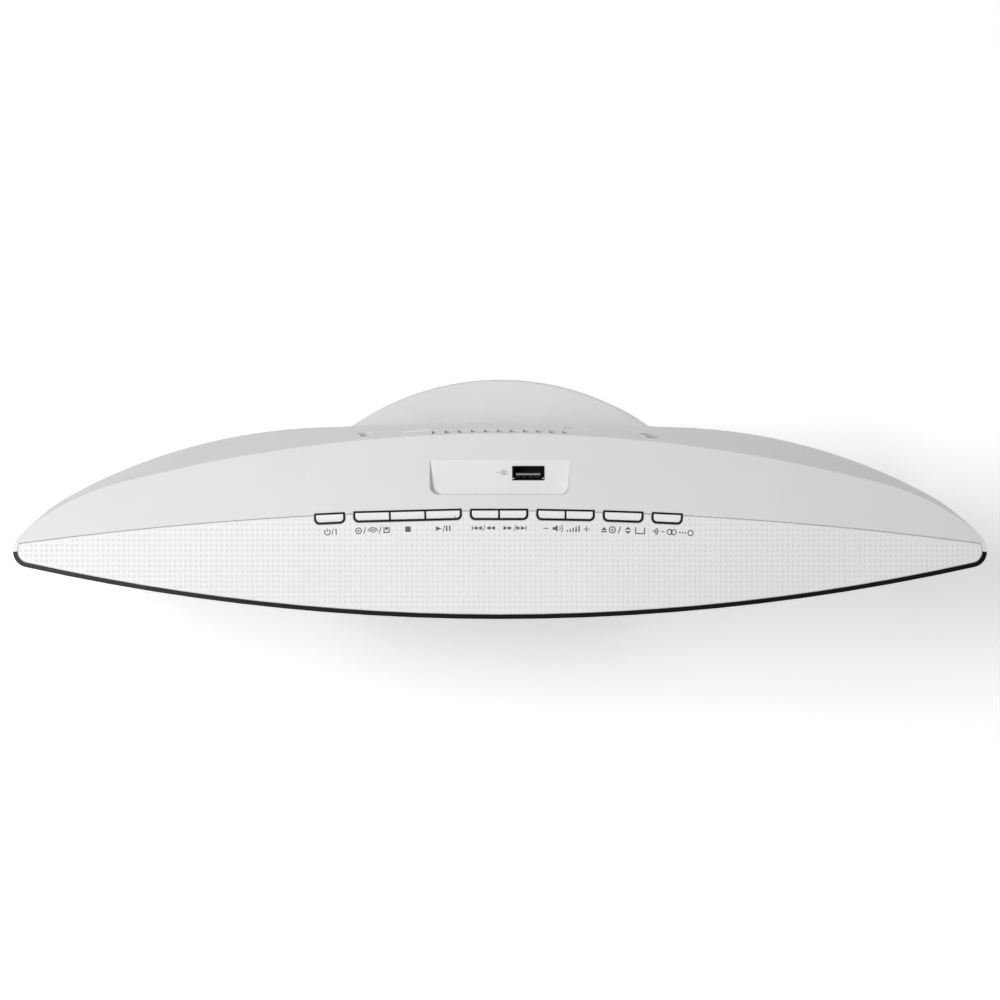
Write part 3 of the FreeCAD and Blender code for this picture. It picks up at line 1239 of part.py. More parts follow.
def make_inlet():
    """The two-pole mains inlet, with its shaped mouth and its two pins, flush with the rear wall."""
    x, z = value("inlet_place"), value("body_lift + inlet_height")
    half, tall = value("inlet_width / 2"), value("inlet_tall / 2")
    face = min(skin_y(x + dx, z + dz) for dx in (-half, half) for dz in (-tall, tall))
    back = max(face - value("inlet_length"), value(f"{FRONT} + power_board_depth + board_thick"))
    mouth, bore, spread = face - value("inlet_mouth"), value("inlet_bore"), value("pin_spread")
    shape = block((x - half, back, z - tall), (x + half, face, z + tall))
    for side in (-1, 1):
        shape = shape.cut(rod(bore, x + side * spread, z, mouth, face + 1))
    shape = shape.cut(block((x - spread, mouth, z - bore), (x + spread, face + 1, z + bore)))
    tip = face - value("pin_sink")
    pins = [rod(value("pin_radius"), x + side * spread, z, back, tip) for side in (-1, 1)]
    subpart(solid(shape.cut(Part.makeCompound(pins)), "power_inlet"), "power_inlet")
    subpart(solid(Part.makeCompound(pins), "inlet_pins"), "inlet_pins")


def make_antenna_jack():
    """The coaxial aerial jack, a little below the rear wall's surface."""
    x, z, radius = value("jack_place"), value(f"{TOP} - jack_drop"), value("jack_radius")
    face, bore = skin_y(x, z), value("jack_bore")
    end = face - value("jack_sink")
    jack = rod(radius, x, z, value(f"{FRONT} + main_board_depth + board_thick"), end)
    jack = jack.cut(rod(radius - value("jack_wall"), x, z, end - bore, face))
    jack = jack.fuse(rod(value("jack_pin"), x, z, end - bore - 1, end - 0.5))
    subpart(solid(jack.removeSplitter(), "antenna_jack"), "antenna_jack")


# ---------------------------------------------------------------- stand and fasteners

def stand_plan(inset, low, high):
    """The foot plate: a rear arc round the back and the body's own front arc, moved in."""
    axis = Vector(0, value("total_depth / 2 - stand_radius"), 0)
    front = column(value("front_radius - stand_front_inset") - inset, low, high, front_axis)
    return column(value("stand_radius") - inset, low, high, axis).common(front)


def pad_places():
    spread = value("pad_spread")
    front = value(f"{FRONT} + stand_front_inset + pad_radius + pad_front")
    rear = value("total_depth / 2 - pad_radius - pad_rear")
    return [(-spread, front), (spread, front), (-spread * 0.4, rear), (spread * 0.4, rear)]


def make_stand():
    """The flat foot plate with a softened rim, pad seats and holes for its two screws."""
    low, high, gap = value("pad_thick"), value("body_lift"), value("fit_gap")
    plate = stand_plan(0, low, high)
    corner = [e for e in plate.Edges if abs(e.tangentAt(e.FirstParameter).z) > 0.99]
    plate = plate.makeFillet(value("stand_corner"), corner)
    rim = [e for e in plate.Edges if e.BoundBox.ZLength < 1e-6 and e.BoundBox.ZMin > high - 1e-6]
    plate = plate.makeFillet(value("stand_edge"), rim)
    seat = low + value("pad_seat")
    holes = [column(value("pad_radius") + gap, low - 1, seat, Vector(x, y, 0)) for x, y in pad_places()]
    head = low + value("screw_head_height") + gap
    for x in stand_screw_x():
        spot = Vector(x, stand_screw_y(), 0)
        holes.append(column(value("screw_radius") + gap, low - 1, high + 1, spot))
        holes.append(column(value("screw_head_radius") + 2 * gap, low - 1, head, spot))
    subpart(solid(plate.cut(Part.makeCompound(holes)), "stand_plate"), "stand_plate")


def make_pads():
    """Four rubber pads, each seated in the foot plate."""
    top, pads = "pad_thick + pad_seat - running_gap", []
    for x, y in pad_places():
        points = [("0", "0"), ("pad_radius - 0.6", "0"), ("pad_radius", "0.6"),
                  ("pad_radius", top), ("0", top)]
        pads.append(turned("pad", points, Placement(Vector(x, y, 0), Rotation())))
    grouped("Pads", pads, "stand_pads")


def make_stand_screws():
    foot = value("pad_thick + fit_gap")
    places = [Placement(Vector(x, stand_screw_y(), foot), Rotation()) for x in stand_screw_x()]
    grouped("StandScrews", [screw("foot_screw_length", place) for place in places], "stand_screws")


def screw(length, placement):
    """A pan-head screw along its own +Z, with a cross recess."""
    head, tall = "screw_head_radius", "screw_head_height"
    points = [("0", "0.9"), ("0.7", "0"), (f"{head} * 0.75", "0"), (head, f"{tall} * 0.5"), (head, tall),
              ("screw_radius", tall), ("screw_radius", f"{length} - 1"), ("0", length)]
    return turned("screw", points, placement)


def make_cabinet_screws():
    screws = []
    for x, z in screw_places():
        spot = Vector(x, screw_seat_y() + value("screw_head_height"), z)
        turn = Rotation(Vector(1, 0, 0), 90)
        screws.append(screw("screw_length", Placement(spot, turn)))
    grouped("CabinetScrews", screws, "cabinet_screws")


# ---------------------------------------------------------------- assembly and export

make_bezel()
make_front_cabinet()
make_grilles()
make_display()
make_door()
make_door_drive()
make_panels()
make_button_frame()
make_buttons()
make_control_board()
make_rear_cabinet()
make_disc_well()
make_chassis()
make_mechanism_rods()
make_dampers()
make_spindle()
make_sled()
for box_side, box_suffix in ((-1, "left"), (1, "right")):
    make_speaker_box(box_side, f"speaker_box_{box_suffix}")
    make_driver(box_side, box_suffix)
make_boards()
make_usb_socket()
make_inlet()
make_antenna_jack()
make_stand()
make_pads()
make_stand_screws()
make_cabinet_screws()
doc.recompute()


def check_and_export():
    """Stops on any failed object or bad shape, then writes one STEP file for each sub-part."""
    failed = [o.Label for o in doc.Objects if "Invalid" in o.State or "Error" in o.State]
    assert not failed, f"failed objects: {failed}"
    for piece in subparts:
        assert not piece.Shape.isNull() and piece.Shape.Solids, f"{piece.Label} has no solid"
        assert piece.Shape.isValid(), f"{piece.Label} isn't valid"
    os.makedirs("parts", exist_ok=True)
    for piece in subparts:
        piece.Shape.exportStep(f"parts/{piece.Label}.step")
        print(piece.Label, len(piece.Shape.Solids), round(piece.Shape.Volume))


check_and_export()
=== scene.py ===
"""Looks for the slim upright disc player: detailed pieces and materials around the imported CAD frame."""

import json
import math

import bpy
import numpy as np
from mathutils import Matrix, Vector
from mathutils.geometry import delaunay_2d_cdt


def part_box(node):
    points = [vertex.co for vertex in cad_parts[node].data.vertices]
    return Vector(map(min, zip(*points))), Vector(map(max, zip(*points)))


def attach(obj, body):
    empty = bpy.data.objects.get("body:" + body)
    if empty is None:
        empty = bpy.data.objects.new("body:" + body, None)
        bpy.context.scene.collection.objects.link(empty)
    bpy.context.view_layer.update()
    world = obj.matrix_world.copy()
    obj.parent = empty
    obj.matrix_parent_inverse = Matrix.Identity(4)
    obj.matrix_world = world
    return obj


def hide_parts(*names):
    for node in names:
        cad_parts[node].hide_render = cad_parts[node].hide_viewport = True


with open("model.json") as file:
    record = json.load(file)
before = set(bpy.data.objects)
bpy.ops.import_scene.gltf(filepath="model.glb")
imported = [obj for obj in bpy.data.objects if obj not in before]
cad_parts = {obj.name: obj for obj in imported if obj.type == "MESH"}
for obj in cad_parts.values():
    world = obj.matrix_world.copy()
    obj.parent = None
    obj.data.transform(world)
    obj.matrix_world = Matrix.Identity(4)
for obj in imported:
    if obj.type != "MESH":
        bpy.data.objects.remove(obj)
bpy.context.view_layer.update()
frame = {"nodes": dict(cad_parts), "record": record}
NODES = frame["nodes"]

MM = 0.001
LINE_RADIUS = 1458.0 * MM  # the arc that ends the top panel
FRONT_RADIUS = 900.0 * MM  # the cylindrical front
FRONT_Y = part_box("front_bezel")[0].y
LINE_AXIS_Y = FRONT_Y + 44.6 * MM - LINE_RADIUS
FRONT_AXIS_Y = FRONT_Y + FRONT_RADIUS
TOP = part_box("top_panel")[1].z
PITCH = 2.115 * MM  # spacing of the panel's dimples
DIMPLE = 0.62 * MM  # radius of one dimple

WHITE = (0.80, 0.80, 0.795)
SHELL = (0.77, 0.77, 0.765)
STAND = (0.84, 0.84, 0.835)
BLACK = (0.006, 0.006, 0.007)
LEGEND = (0.085, 0.085, 0.085)


# ---------------------------------------------------------------- materials

def shader_nodes(name):
    material = bpy.data.materials.new(name)
    material.use_nodes = True
    tree = material.node_tree
    shader = tree.nodes["Principled BSDF"]
    place = tree.nodes.new("ShaderNodeTexCoord").outputs["Object"]
    return material, tree, shader, place


def noise(tree, place, grain, detail=3.0, rough=0.55, stretch=None):
    """A noise texture whose largest cells are about `grain` metres across."""
    node = tree.nodes.new("ShaderNodeTexNoise")
    node.inputs["Scale"].default_value = 1.0 / grain
    node.inputs["Detail"].default_value = detail
    node.inputs["Roughness"].default_value = rough
    if stretch:
        scale = tree.nodes.new("ShaderNodeMapping")
        scale.inputs["Scale"].default_value = stretch
        tree.links.new(place, scale.inputs["Vector"])
        place = scale.outputs["Vector"]
    tree.links.new(place, node.inputs["Vector"])
    return node.outputs["Fac"]


def ramp(tree, factor, low, high, start=0.3, stop=0.7):
    """Two colours blended across part of a factor's range."""
    node = tree.nodes.new("ShaderNodeValToRGB")
    node.color_ramp.elements[0].position, node.color_ramp.elements[1].position = start, stop
    node.color_ramp.elements[0].color, node.color_ramp.elements[1].color = (*low, 1), (*high, 1)
    tree.links.new(factor, node.inputs["Fac"])
    return node.outputs["Color"]


def spread(tree, factor, low, high):
    node = tree.nodes.new("ShaderNodeMapRange")
    node.inputs["From Min"].default_value, node.inputs["From Max"].default_value = 0.3, 0.7
    node.inputs["To Min"].default_value, node.inputs["To Max"].default_value = low, high
    tree.links.new(factor, node.inputs["Value"])
    return node.outputs["Result"]


def bump(tree, shader, height, depth, strength=1.0):
    node = tree.nodes.new("ShaderNodeBump")
    node.inputs["Distance"].default_value = depth
    node.inputs["Strength"].default_value = strength
    tree.links.new(height, node.inputs["Height"])
    tree.links.new(node.outputs["Normal"], shader.inputs["Normal"])


def edge_mix(tree, colour, edge_colour, amount):
    """Lightens the sharp edges of a piece, from how sharp the surface is."""
    point = tree.nodes.new("ShaderNodeNewGeometry").outputs["Pointiness"]
    sharp = tree.nodes.new("ShaderNodeMapRange")
    sharp.inputs["From Min"].default_value, sharp.inputs["From Max"].default_value = 0.52, 0.62
    sharp.inputs["To Max"].default_value = amount
    tree.links.new(point, sharp.inputs["Value"])
    mix = tree.nodes.new("ShaderNodeMix")
    mix.data_type = "RGBA"
    tree.links.new(sharp.outputs["Result"], mix.inputs["Factor"])
    tree.links.new(colour, mix.inputs["A"])
    mix.inputs["B"].default_value = (*edge_colour, 1)
    return mix.outputs["Result"]


def shade(colour, amount):
    return tuple(min(1.0, c * amount) for c in colour)


def moulded(name, colour, rough, grain=0.35, depth=0.012, mottle=0.03, gloss=0.0, edge=0.15, metal=0.0,
            shine=0.5):
    """Moulded or painted plastic: spark-eroded grain, faint mottling and slightly lighter sharp edges."""
    material, tree, shader, place = shader_nodes(name)
    broad = noise(tree, place, 30 * MM, 2.0)
    fine = noise(tree, place, grain * MM, 4.0, 0.65)
    base = ramp(tree, broad, shade(colour, 1 - mottle), shade(colour, 1 + mottle))
    base = edge_mix(tree, base, shade(colour, 1.15), edge)
    tree.links.new(base, shader.inputs["Base Color"])
    tree.links.new(spread(tree, fine, rough - 0.05, rough + 0.05), shader.inputs["Roughness"])
    shader.inputs["Metallic"].default_value = metal
    shader.inputs["Coat Weight"].default_value = gloss
    shader.inputs["Coat Roughness"].default_value = 0.04
    shader.inputs["Specular IOR Level"].default_value = shine
    shader.inputs["IOR"].default_value = 1.49
    bump(tree, shader, fine, depth * MM)
    return material


def painted_dimple_shade(material):
    """Darkens the panel's dimples a little as painted shade in the hollows, on the grid that their geometry
    follows.
    """
    tree = material.node_tree
    shader = tree.nodes["Principled BSDF"]
    spot = tree.nodes.new("ShaderNodeTexCoord").outputs["Object"]
    for work, number in (("SCALE", 1 / PITCH), ("ADD", 0.5), ("FRACTION", 0), ("SUBTRACT", 0.5),
                         ("MULTIPLY", 1), ("LENGTH", 0)):
        step = tree.nodes.new("ShaderNodeVectorMath")
        step.operation = work
        if work == "SCALE":
            step.inputs["Scale"].default_value = number
        elif work not in ("FRACTION", "LENGTH"):
            step.inputs[1].default_value = (number, number, 0)
        tree.links.new(spot, step.inputs[0])
        spot = step.outputs["Value" if work == "LENGTH" else "Vector"]
    soft = tree.nodes.new("ShaderNodeMapRange")
    soft.interpolation_type = "SMOOTHSTEP"
    for socket, number in (("From Min", 0.16), ("From Max", 0.36), ("To Min", 0.93), ("To Max", 1.0)):
        soft.inputs[socket].default_value = number
    tree.links.new(spot, soft.inputs["Value"])
    mix = tree.nodes.new("ShaderNodeVectorMath")
    mix.operation = "SCALE"
    tree.links.new(shader.inputs["Base Color"].links[0].from_socket, mix.inputs[0])
    tree.links.new(soft.outputs["Result"], mix.inputs["Scale"])
    tree.links.new(mix.outputs["Vector"], shader.inputs["Base Color"])
    return material


def brushed(name, colour, rough, along=(1, 1, 1), depth=0.004):
    """Drawn or rolled metal with fine streaks along one direction."""
    material, tree, shader, place = shader_nodes(name)
    streak = noise(tree, place, 0.5 * MM, 5.0, 0.6, along)
    broad = noise(tree, place, 12 * MM, 2.0)
    tree.links.new(ramp(tree, broad, shade(colour, 0.9), shade(colour, 1.06)), shader.inputs["Base Color"])
    tree.links.new(spread(tree, streak, rough - 0.08, rough + 0.1), shader.inputs["Roughness"])
    shader.inputs["Metallic"].default_value = 1.0
    bump(tree, shader, streak, depth * MM)
    return material


def rubbery(name, colour):
    material = moulded(name, colour, 0.78, 0.25, 0.03, 0.12, 0.0, 0.25)
    material.node_tree.nodes["Principled BSDF"].inputs["Specular IOR Level"].default_value = 0.3
    return material


def papery(name, colour):
    """Pressed paper cone: long soft fibres with a dull sheen."""
    material, tree, shader, place = shader_nodes(name)
    fibre = noise(tree, place, 1.2 * MM, 6.0, 0.75, (1, 1, 3))
    tree.links.new(ramp(tree, fibre, shade(colour, 0.6), shade(colour, 1.5)), shader.inputs["Base Color"])
    shader.inputs["Roughness"].default_value = 0.85
    shader.inputs["Sheen Weight"].default_value = 0.15
    bump(tree, shader, fibre, 0.08 * MM)
    return material


def circuit(name):
    """Green solder mask over copper tracks, drawn by a brick pattern, with faint weave."""
    material, tree, shader, place = shader_nodes(name)
    turn = tree.nodes.new("ShaderNodeMapping")
    turn.inputs["Rotation"].default_value = (math.radians(90), 0, 0)
    tree.links.new(place, turn.inputs["Vector"])
    tracks = tree.nodes.new("ShaderNodeTexBrick")
    tracks.inputs["Scale"].default_value = 120
    tracks.inputs["Mortar Size"].default_value = 0.035
    tracks.inputs["Color1"].default_value = (0.012, 0.11, 0.035, 1)
    tracks.inputs["Color2"].default_value = (0.015, 0.14, 0.045, 1)
    tracks.inputs["Mortar"].default_value = (0.06, 0.30, 0.10, 1)
    tree.links.new(turn.outputs["Vector"], tracks.inputs["Vector"])
    tree.links.new(tracks.outputs["Color"], shader.inputs["Base Color"])
    weave = noise(tree, place, 0.4 * MM, 3.0)
    tree.links.new(spread(tree, weave, 0.3, 0.42), shader.inputs["Roughness"])
    bump(tree, shader, tracks.outputs["Fac"], 0.03 * MM)
    return material


def lens_coating(name):
    material, tree, shader, place = shader_nodes(name)
    tint = noise(tree, place, 3 * MM, 1.0)
    tree.links.new(ramp(tree, tint, (0.10, 0.16, 0.42), (0.34, 0.16, 0.46)), shader.inputs["Base Color"])
    shader.inputs["Roughness"].default_value = 0.04
    shader.inputs["Transmission Weight"].default_value = 0.6
    shader.inputs["Coat Weight"].default_value = 1.0
    return material


MATERIALS = {
    "white_shell": moulded("white_shell", SHELL, 0.52, 0.45, 0.010, 0.012),
    "black_gloss": moulded("black_gloss", BLACK, 0.30, 0.8, 0.002, 0.1, 0.0, 0.02, 0.0, 0.12),
    "inner_frame": moulded("inner_frame", (0.012, 0.012, 0.013), 0.6, 0.4, 0.02, 0.1),
    "grille_metal": moulded("grille_metal", WHITE, 0.42, 0.6, 0.006, 0.015),
    "door_gloss": moulded("door_gloss", WHITE, 0.16, 1.2, 0.002, 0.01, 0.8),
    "smoked_window": moulded("smoked_window", (0.008, 0.009, 0.011), 0.08, 1.5, 0.001, 0.1, 1.0, 0.02),
    "display_dark": moulded("display_dark", (0.02, 0.025, 0.028), 0.35, 0.5, 0.004, 0.1),
    "button_white": moulded("button_white", (0.86, 0.86, 0.855), 0.30, 0.5, 0.003, 0.01, 0.25),
    "stand_grey": moulded("stand_grey", STAND, 0.60, 0.40, 0.016, 0.02),
    "rubber_dark": rubbery("rubber_dark", (0.03, 0.03, 0.03)),
    "mechanism_plastic": moulded("mechanism_plastic", (0.018, 0.018, 0.02), 0.5, 0.35, 0.015, 0.12),
    "steel": brushed("steel", (0.56, 0.57, 0.58), 0.34, (1, 1, 12)),
    "gear_plastic": moulded("gear_plastic", (0.62, 0.60, 0.50), 0.4, 0.3, 0.006, 0.04),
    "lens_glass": lens_coating("lens_glass"),
    "speaker_box_plastic": moulded("speaker_box_plastic", (0.02, 0.02, 0.02), 0.62, 0.4, 0.02, 0.1),
    "driver_steel": moulded("driver_steel", (0.022, 0.022, 0.024), 0.38, 0.5, 0.006, 0.1, 0.0, 0.3, 0.6),
    "magnet_ferrite": moulded("magnet_ferrite", (0.035, 0.035, 0.038), 0.7, 0.3, 0.03, 0.2, 0.0, 0.4),
    "cone_paper": papery("cone_paper", (0.03, 0.03, 0.031)),
    "board_green": circuit("board_green"),
    "chip_black": moulded("chip_black", (0.012, 0.012, 0.013), 0.5, 0.25, 0.012, 0.15),
    "transformer_copper": brushed("transformer_copper", (0.50, 0.25, 0.10), 0.4, (8, 1, 1), 0.03),
    "capacitor_blue": moulded("capacitor_blue", (0.02, 0.04, 0.16), 0.28, 0.8, 0.003, 0.05, 0.5),
    "heat_sink_alu": brushed("heat_sink_alu", (0.72, 0.72, 0.73), 0.36, (1, 14, 1)),
    "jack_metal": brushed("jack_metal", (0.68, 0.68, 0.69), 0.2, (1, 6, 1), 0.002),
    # the panel's material carries painted shade in its dimples
    "panel_white": painted_dimple_shade(moulded("panel_white", WHITE, 0.46, 0.5, 0.006, 0.010)),
    "legend_ink": moulded("legend_ink", LEGEND, 0.55, 0.3, 0.004, 0.06, 0.0, 0.0),
    "faint_ink": moulded("faint_ink", (0.52, 0.52, 0.52), 0.55, 0.3, 0.004, 0.05, 0.0, 0.0),
    "gold_contact": brushed("gold_contact", (0.80, 0.58, 0.22), 0.25, (1, 1, 10), 0.002),
    "usb_grey": moulded("usb_grey", (0.30, 0.30, 0.31), 0.45, 0.25, 0.006, 0.05),
    # near-black that paints the shadow inside the USB socket
    "usb_black_and_shadow": moulded("usb_black_and_shadow", (0.004, 0.004, 0.004), 0.5, 0.25, 0.006, 0.1, 0.0, 0.05, 0.0, 0.15),
}


SHADOW_BLACK_NODES = {"usb_socket_shell": "usb_black_and_shadow", "usb_socket_core": "usb_black_and_shadow"}  # the steel shell is near-black as painted shadow inside the socket; the core is black plastic, made darker still by painted shadow


def paint_cad_nodes():
    """Gives every CAD node the procedural material of its slot; the USB socket's shell and core get a
    near-black with painted shadow instead.
    """
    for part in frame["record"]["subparts"]:
        mesh = NODES[part["node"]].data
        mesh.materials.clear()
        mesh.materials.append(MATERIALS[SHADOW_BLACK_NODES.get(part["node"], part["material_slot"])])


# ---------------------------------------------------------------- mesh helpers

def make_piece(name, points, faces, material, body, smooth=False):
    """A mesh piece in the row frame that rides on one body."""
    mesh = bpy.data.meshes.new(name)
    mesh.from_pydata([tuple(p) for p in points], [], [tuple(int(i) for i in f) for f in faces])
    mesh.validate()
    mesh.materials.append(MATERIALS[material])
    if smooth:
        mesh.shade_smooth()
    piece = bpy.data.objects.new(name, mesh)
    bpy.context.scene.collection.objects.link(piece)
    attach(piece, body)
    return piece


def circle(radius, count, phase=0.0):
    angles = phase + np.arange(count) * 2 * math.pi / count
    return np.stack([np.cos(angles) * radius, np.sin(angles) * radius], 1)


def top_loop(node):
    """The outline of a CAD node's highest flat face, anticlockwise, as an array of (x, y)."""
    mesh = NODES[node].data
    spots = np.array([v.co for v in mesh.vertices])
    high = spots[:, 2].max() - 1e-5
    keys = [tuple(np.round(p[:2], 7)) for p in spots]
    count = {}
    for face in mesh.polygons:
        if all(spots[i, 2] > high for i in face.vertices):
            loop = list(face.vertices)
            for a, b in zip(loop, loop[1:] + loop[:1]):
                count[(keys[a], keys[b])] = count.get((keys[a], keys[b]), 0) + 1
    follow = {a: b for a, b in count if (b, a) not in count}
    start = min(follow)
    loop = [start]
    while follow[loop[-1]] != start:
        loop.append(follow[loop[-1]])
    return np.array(loop)


def inset_loop(loop, amount):
    """Moves an anticlockwise outline inward along its corner bisectors."""
    before, after = np.roll(loop, 1, 0), np.roll(loop, -1, 0)
    a, b = loop - before, after - loop
    a /= np.linalg.norm(a, axis=1)[:, None]
    b /= np.linalg.norm(b, axis=1)[:, None]
    na, nb = np.stack([-a[:, 1], a[:, 0]], 1), np.stack([-b[:, 1], b[:, 0]], 1)
    mean = na + nb
    return loop + amount * mean / np.maximum((mean * na).sum(1), 0.5)[:, None]


def inside(points, loop):
    """Which points lie inside a closed outline."""
    result = np.zeros(len(points), bool)
    for a, b in zip(loop, np.roll(loop, -1, 0)):
        crosses = (a[1] > points[:, 1]) != (b[1] > points[:, 1])
        slope = (b[0] - a[0]) / (b[1] - a[1] if b[1] != a[1] else 1)
        result ^= crosses & (points[:, 0] < a[0] + slope * (points[:, 1] - a[1]))
    return result


def distance_to_loop(points, loop):
    best = np.full(len(points), 1e9)
    for a, b in zip(loop, np.roll(loop, -1, 0)):
        d = b - a
        t = np.clip(((points - a) @ d) / max(d @ d, 1e-18), 0, 1)
        best = np.minimum(best, np.linalg.norm(points - a - t[:, None] * d, axis=1))
    return best


def filled(outline):
    """The triangles that fill a closed outline, as numbers of its points."""
    edges = [(i, (i + 1) % len(outline)) for i in range(len(outline))]
    spots, _, triangles, _, _, _ = delaunay_2d_cdt([Vector(p) for p in outline], edges, [], 0, 1e-9)
    spots, triangles = np.array([tuple(p) for p in spots]), np.array(triangles)
    return triangles[inside(spots[triangles].mean(1), outline)]


# ---------------------------------------------------------------- top panel

def dimple_centres(loop, clear_zones):
    """A square grid of places inside the outline, off its edge and off the printed icons."""
    low, high = loop.min(0), loop.max(0)
    xs = np.arange(math.ceil(low[0] / PITCH), math.floor(high[0] / PITCH) + 1) * PITCH
    ys = np.arange(math.ceil(low[1] / PITCH), math.floor(high[1] / PITCH) + 1) * PITCH
    grid = np.array([(x, y) for y in ys for x in xs])
    grid = grid[inside(grid, loop)]
    grid = grid[distance_to_loop(grid, loop) > DIMPLE + 0.35 * MM]
    for x0, y0, x1, y1 in clear_zones:
        hit = (grid[:, 0] > x0 - DIMPLE) & (grid[:, 0] < x1 + DIMPLE)
        hit &= (grid[:, 1] > y0 - DIMPLE) & (grid[:, 1] < y1 + DIMPLE)
        grid = grid[~hit]
    return grid


def make_top_panel(clear_zones):
    """The textured panel: a sheet with a softened edge and a square grid of shallow round dimples."""
    outline = top_loop("top_panel")
    soft = 0.32 * MM
    crown = inset_loop(outline, soft)
    centres = dimple_centres(crown, clear_zones)
    ring, count = circle(DIMPLE, 12), 12
    rims = (centres[:, None, :] + ring[None]).reshape(-1, 2)
    flat = [Vector(p) for p in crown] + [Vector(p) for p in rims]
    size = len(crown)
    edges = [(i, (i + 1) % size) for i in range(size)]
    edges += [(size + k * count + i, size + k * count + (i + 1) % count)
              for k in range(len(centres)) for i in range(count)]
    spots, _, triangles, sources, _, _ = delaunay_2d_cdt(flat, edges, [], 0, 1e-8)
    spots = np.array([tuple(p) for p in spots])
    triangles = np.array(triangles)
    landed = {given: made for made, group in enumerate(sources) for given in group}
    middles = spots[triangles].mean(1)
    keep = inside(middles, crown)
    nearest = np.round(middles / PITCH) * PITCH
    exact = {tuple(np.round(c / PITCH).astype(int)) for c in centres}
    in_dimple = np.linalg.norm(middles - nearest, axis=1) < DIMPLE * math.cos(math.pi / count)
    has_dimple = np.array([tuple(k) in exact for k in np.round(middles / PITCH).astype(int)])
    triangles = triangles[keep & ~(in_dimple & has_dimple)]
    points = [(x, y, TOP) for x, y in spots]
    faces = [tuple(t) for t in triangles]
    deep = 0.20 * MM
    for k, centre in enumerate(centres):
        rim = [landed[size + k * count + i] for i in range(count)]
        first = len(points)
        points += [(*(centre + r * 0.62), TOP - deep * 0.72) for r in ring]
        points.append((*centre, TOP - deep))
        for i in range(count):
            j = (i + 1) % count
            faces.append((rim[i], rim[j], first + j, first + i))
            faces.append((first + i, first + j, first + count))
    base = len(points)
    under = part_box("top_panel")[0].z
    points += [(x, y, TOP - soft) for x, y in outline] + [(x, y, under) for x, y in outline]
    top_ring = [landed[i] for i in range(size)]
    for i in range(size):
        j = (i + 1) % size
        faces.append((base + i, base + j, top_ring[j], top_ring[i]))
        faces.append((base + size + i, base + size + j, base + j, base + i))
    faces += [(base + size + c, base + size + b, base + size + a) for a, b, c in filled(outline)]
    piece = make_piece("top_panel_dimpled", points, faces, "panel_white", "cabinet")
    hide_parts("top_panel")


# ---------------------------------------------------------------- printed icons

def bar(x, y, wide, tall):
    return [(x, y), (x + wide, y), (x + wide, y + tall), (x, y + tall)]


def disc(x, y, radius, count=24):
    return [(x + a, y + b) for a, b in circle(radius, count)]


def band(x, y, radius, thick, start, stop, count=20):
    """A bent strip of a ring between two angles in degrees."""
    angles = [math.radians(start + (stop - start) * i / count) for i in range(count + 1)]
    small = radius - thick
    outer = [(x + math.cos(a) * radius, y + math.sin(a) * radius) for a in angles]
    inner = [(x + math.cos(a) * small, y + math.sin(a) * small) for a in reversed(angles)]
    return outer + inner


def strips(x, y, radius, thick, start=0, stop=360):
    """A ring or arc as two simple outlines, so that none encloses a hole."""
    middle = (start + stop) / 2
    return [band(x, y, radius, thick, start, middle), band(x, y, radius, thick, middle, stop)]


def triangle(x, y, wide, tall, way):
    """A play triangle from its left edge x, centred on y, pointing right (1) or left (-1)."""
    if way > 0:
        return [(x, y - tall / 2), (x + wide, y), (x, y + tall / 2)]
    return [(x + wide, y - tall / 2), (x + wide, y + tall / 2), (x, y)]


def slash(x, tall=2.6):
    return [(x - 0.55, -tall / 2), (x - 0.22, -tall / 2), (x + 0.55, tall / 2), (x + 0.22, tall / 2)]


def skip(way):
    """Skip and search: bar with two triangles, slash, two triangles; mirrored for the other way."""
    shapes = [bar(-4.75, -0.87, 0.38, 1.74)]
    shapes += [triangle(x, 0, 1.85, 1.74, -1) for x in (-4.3, -2.45, 1.05, 2.9)]
    if way > 0:
        shapes = [[(-x, y) for x, y in reversed(shape)] for shape in shapes]
    return shapes + [slash(-0.1 * way + 0.1, 2.4)]


def sized(shapes, amount):
    return [[(x * amount, y * amount) for x, y in shape] for shape in shapes]


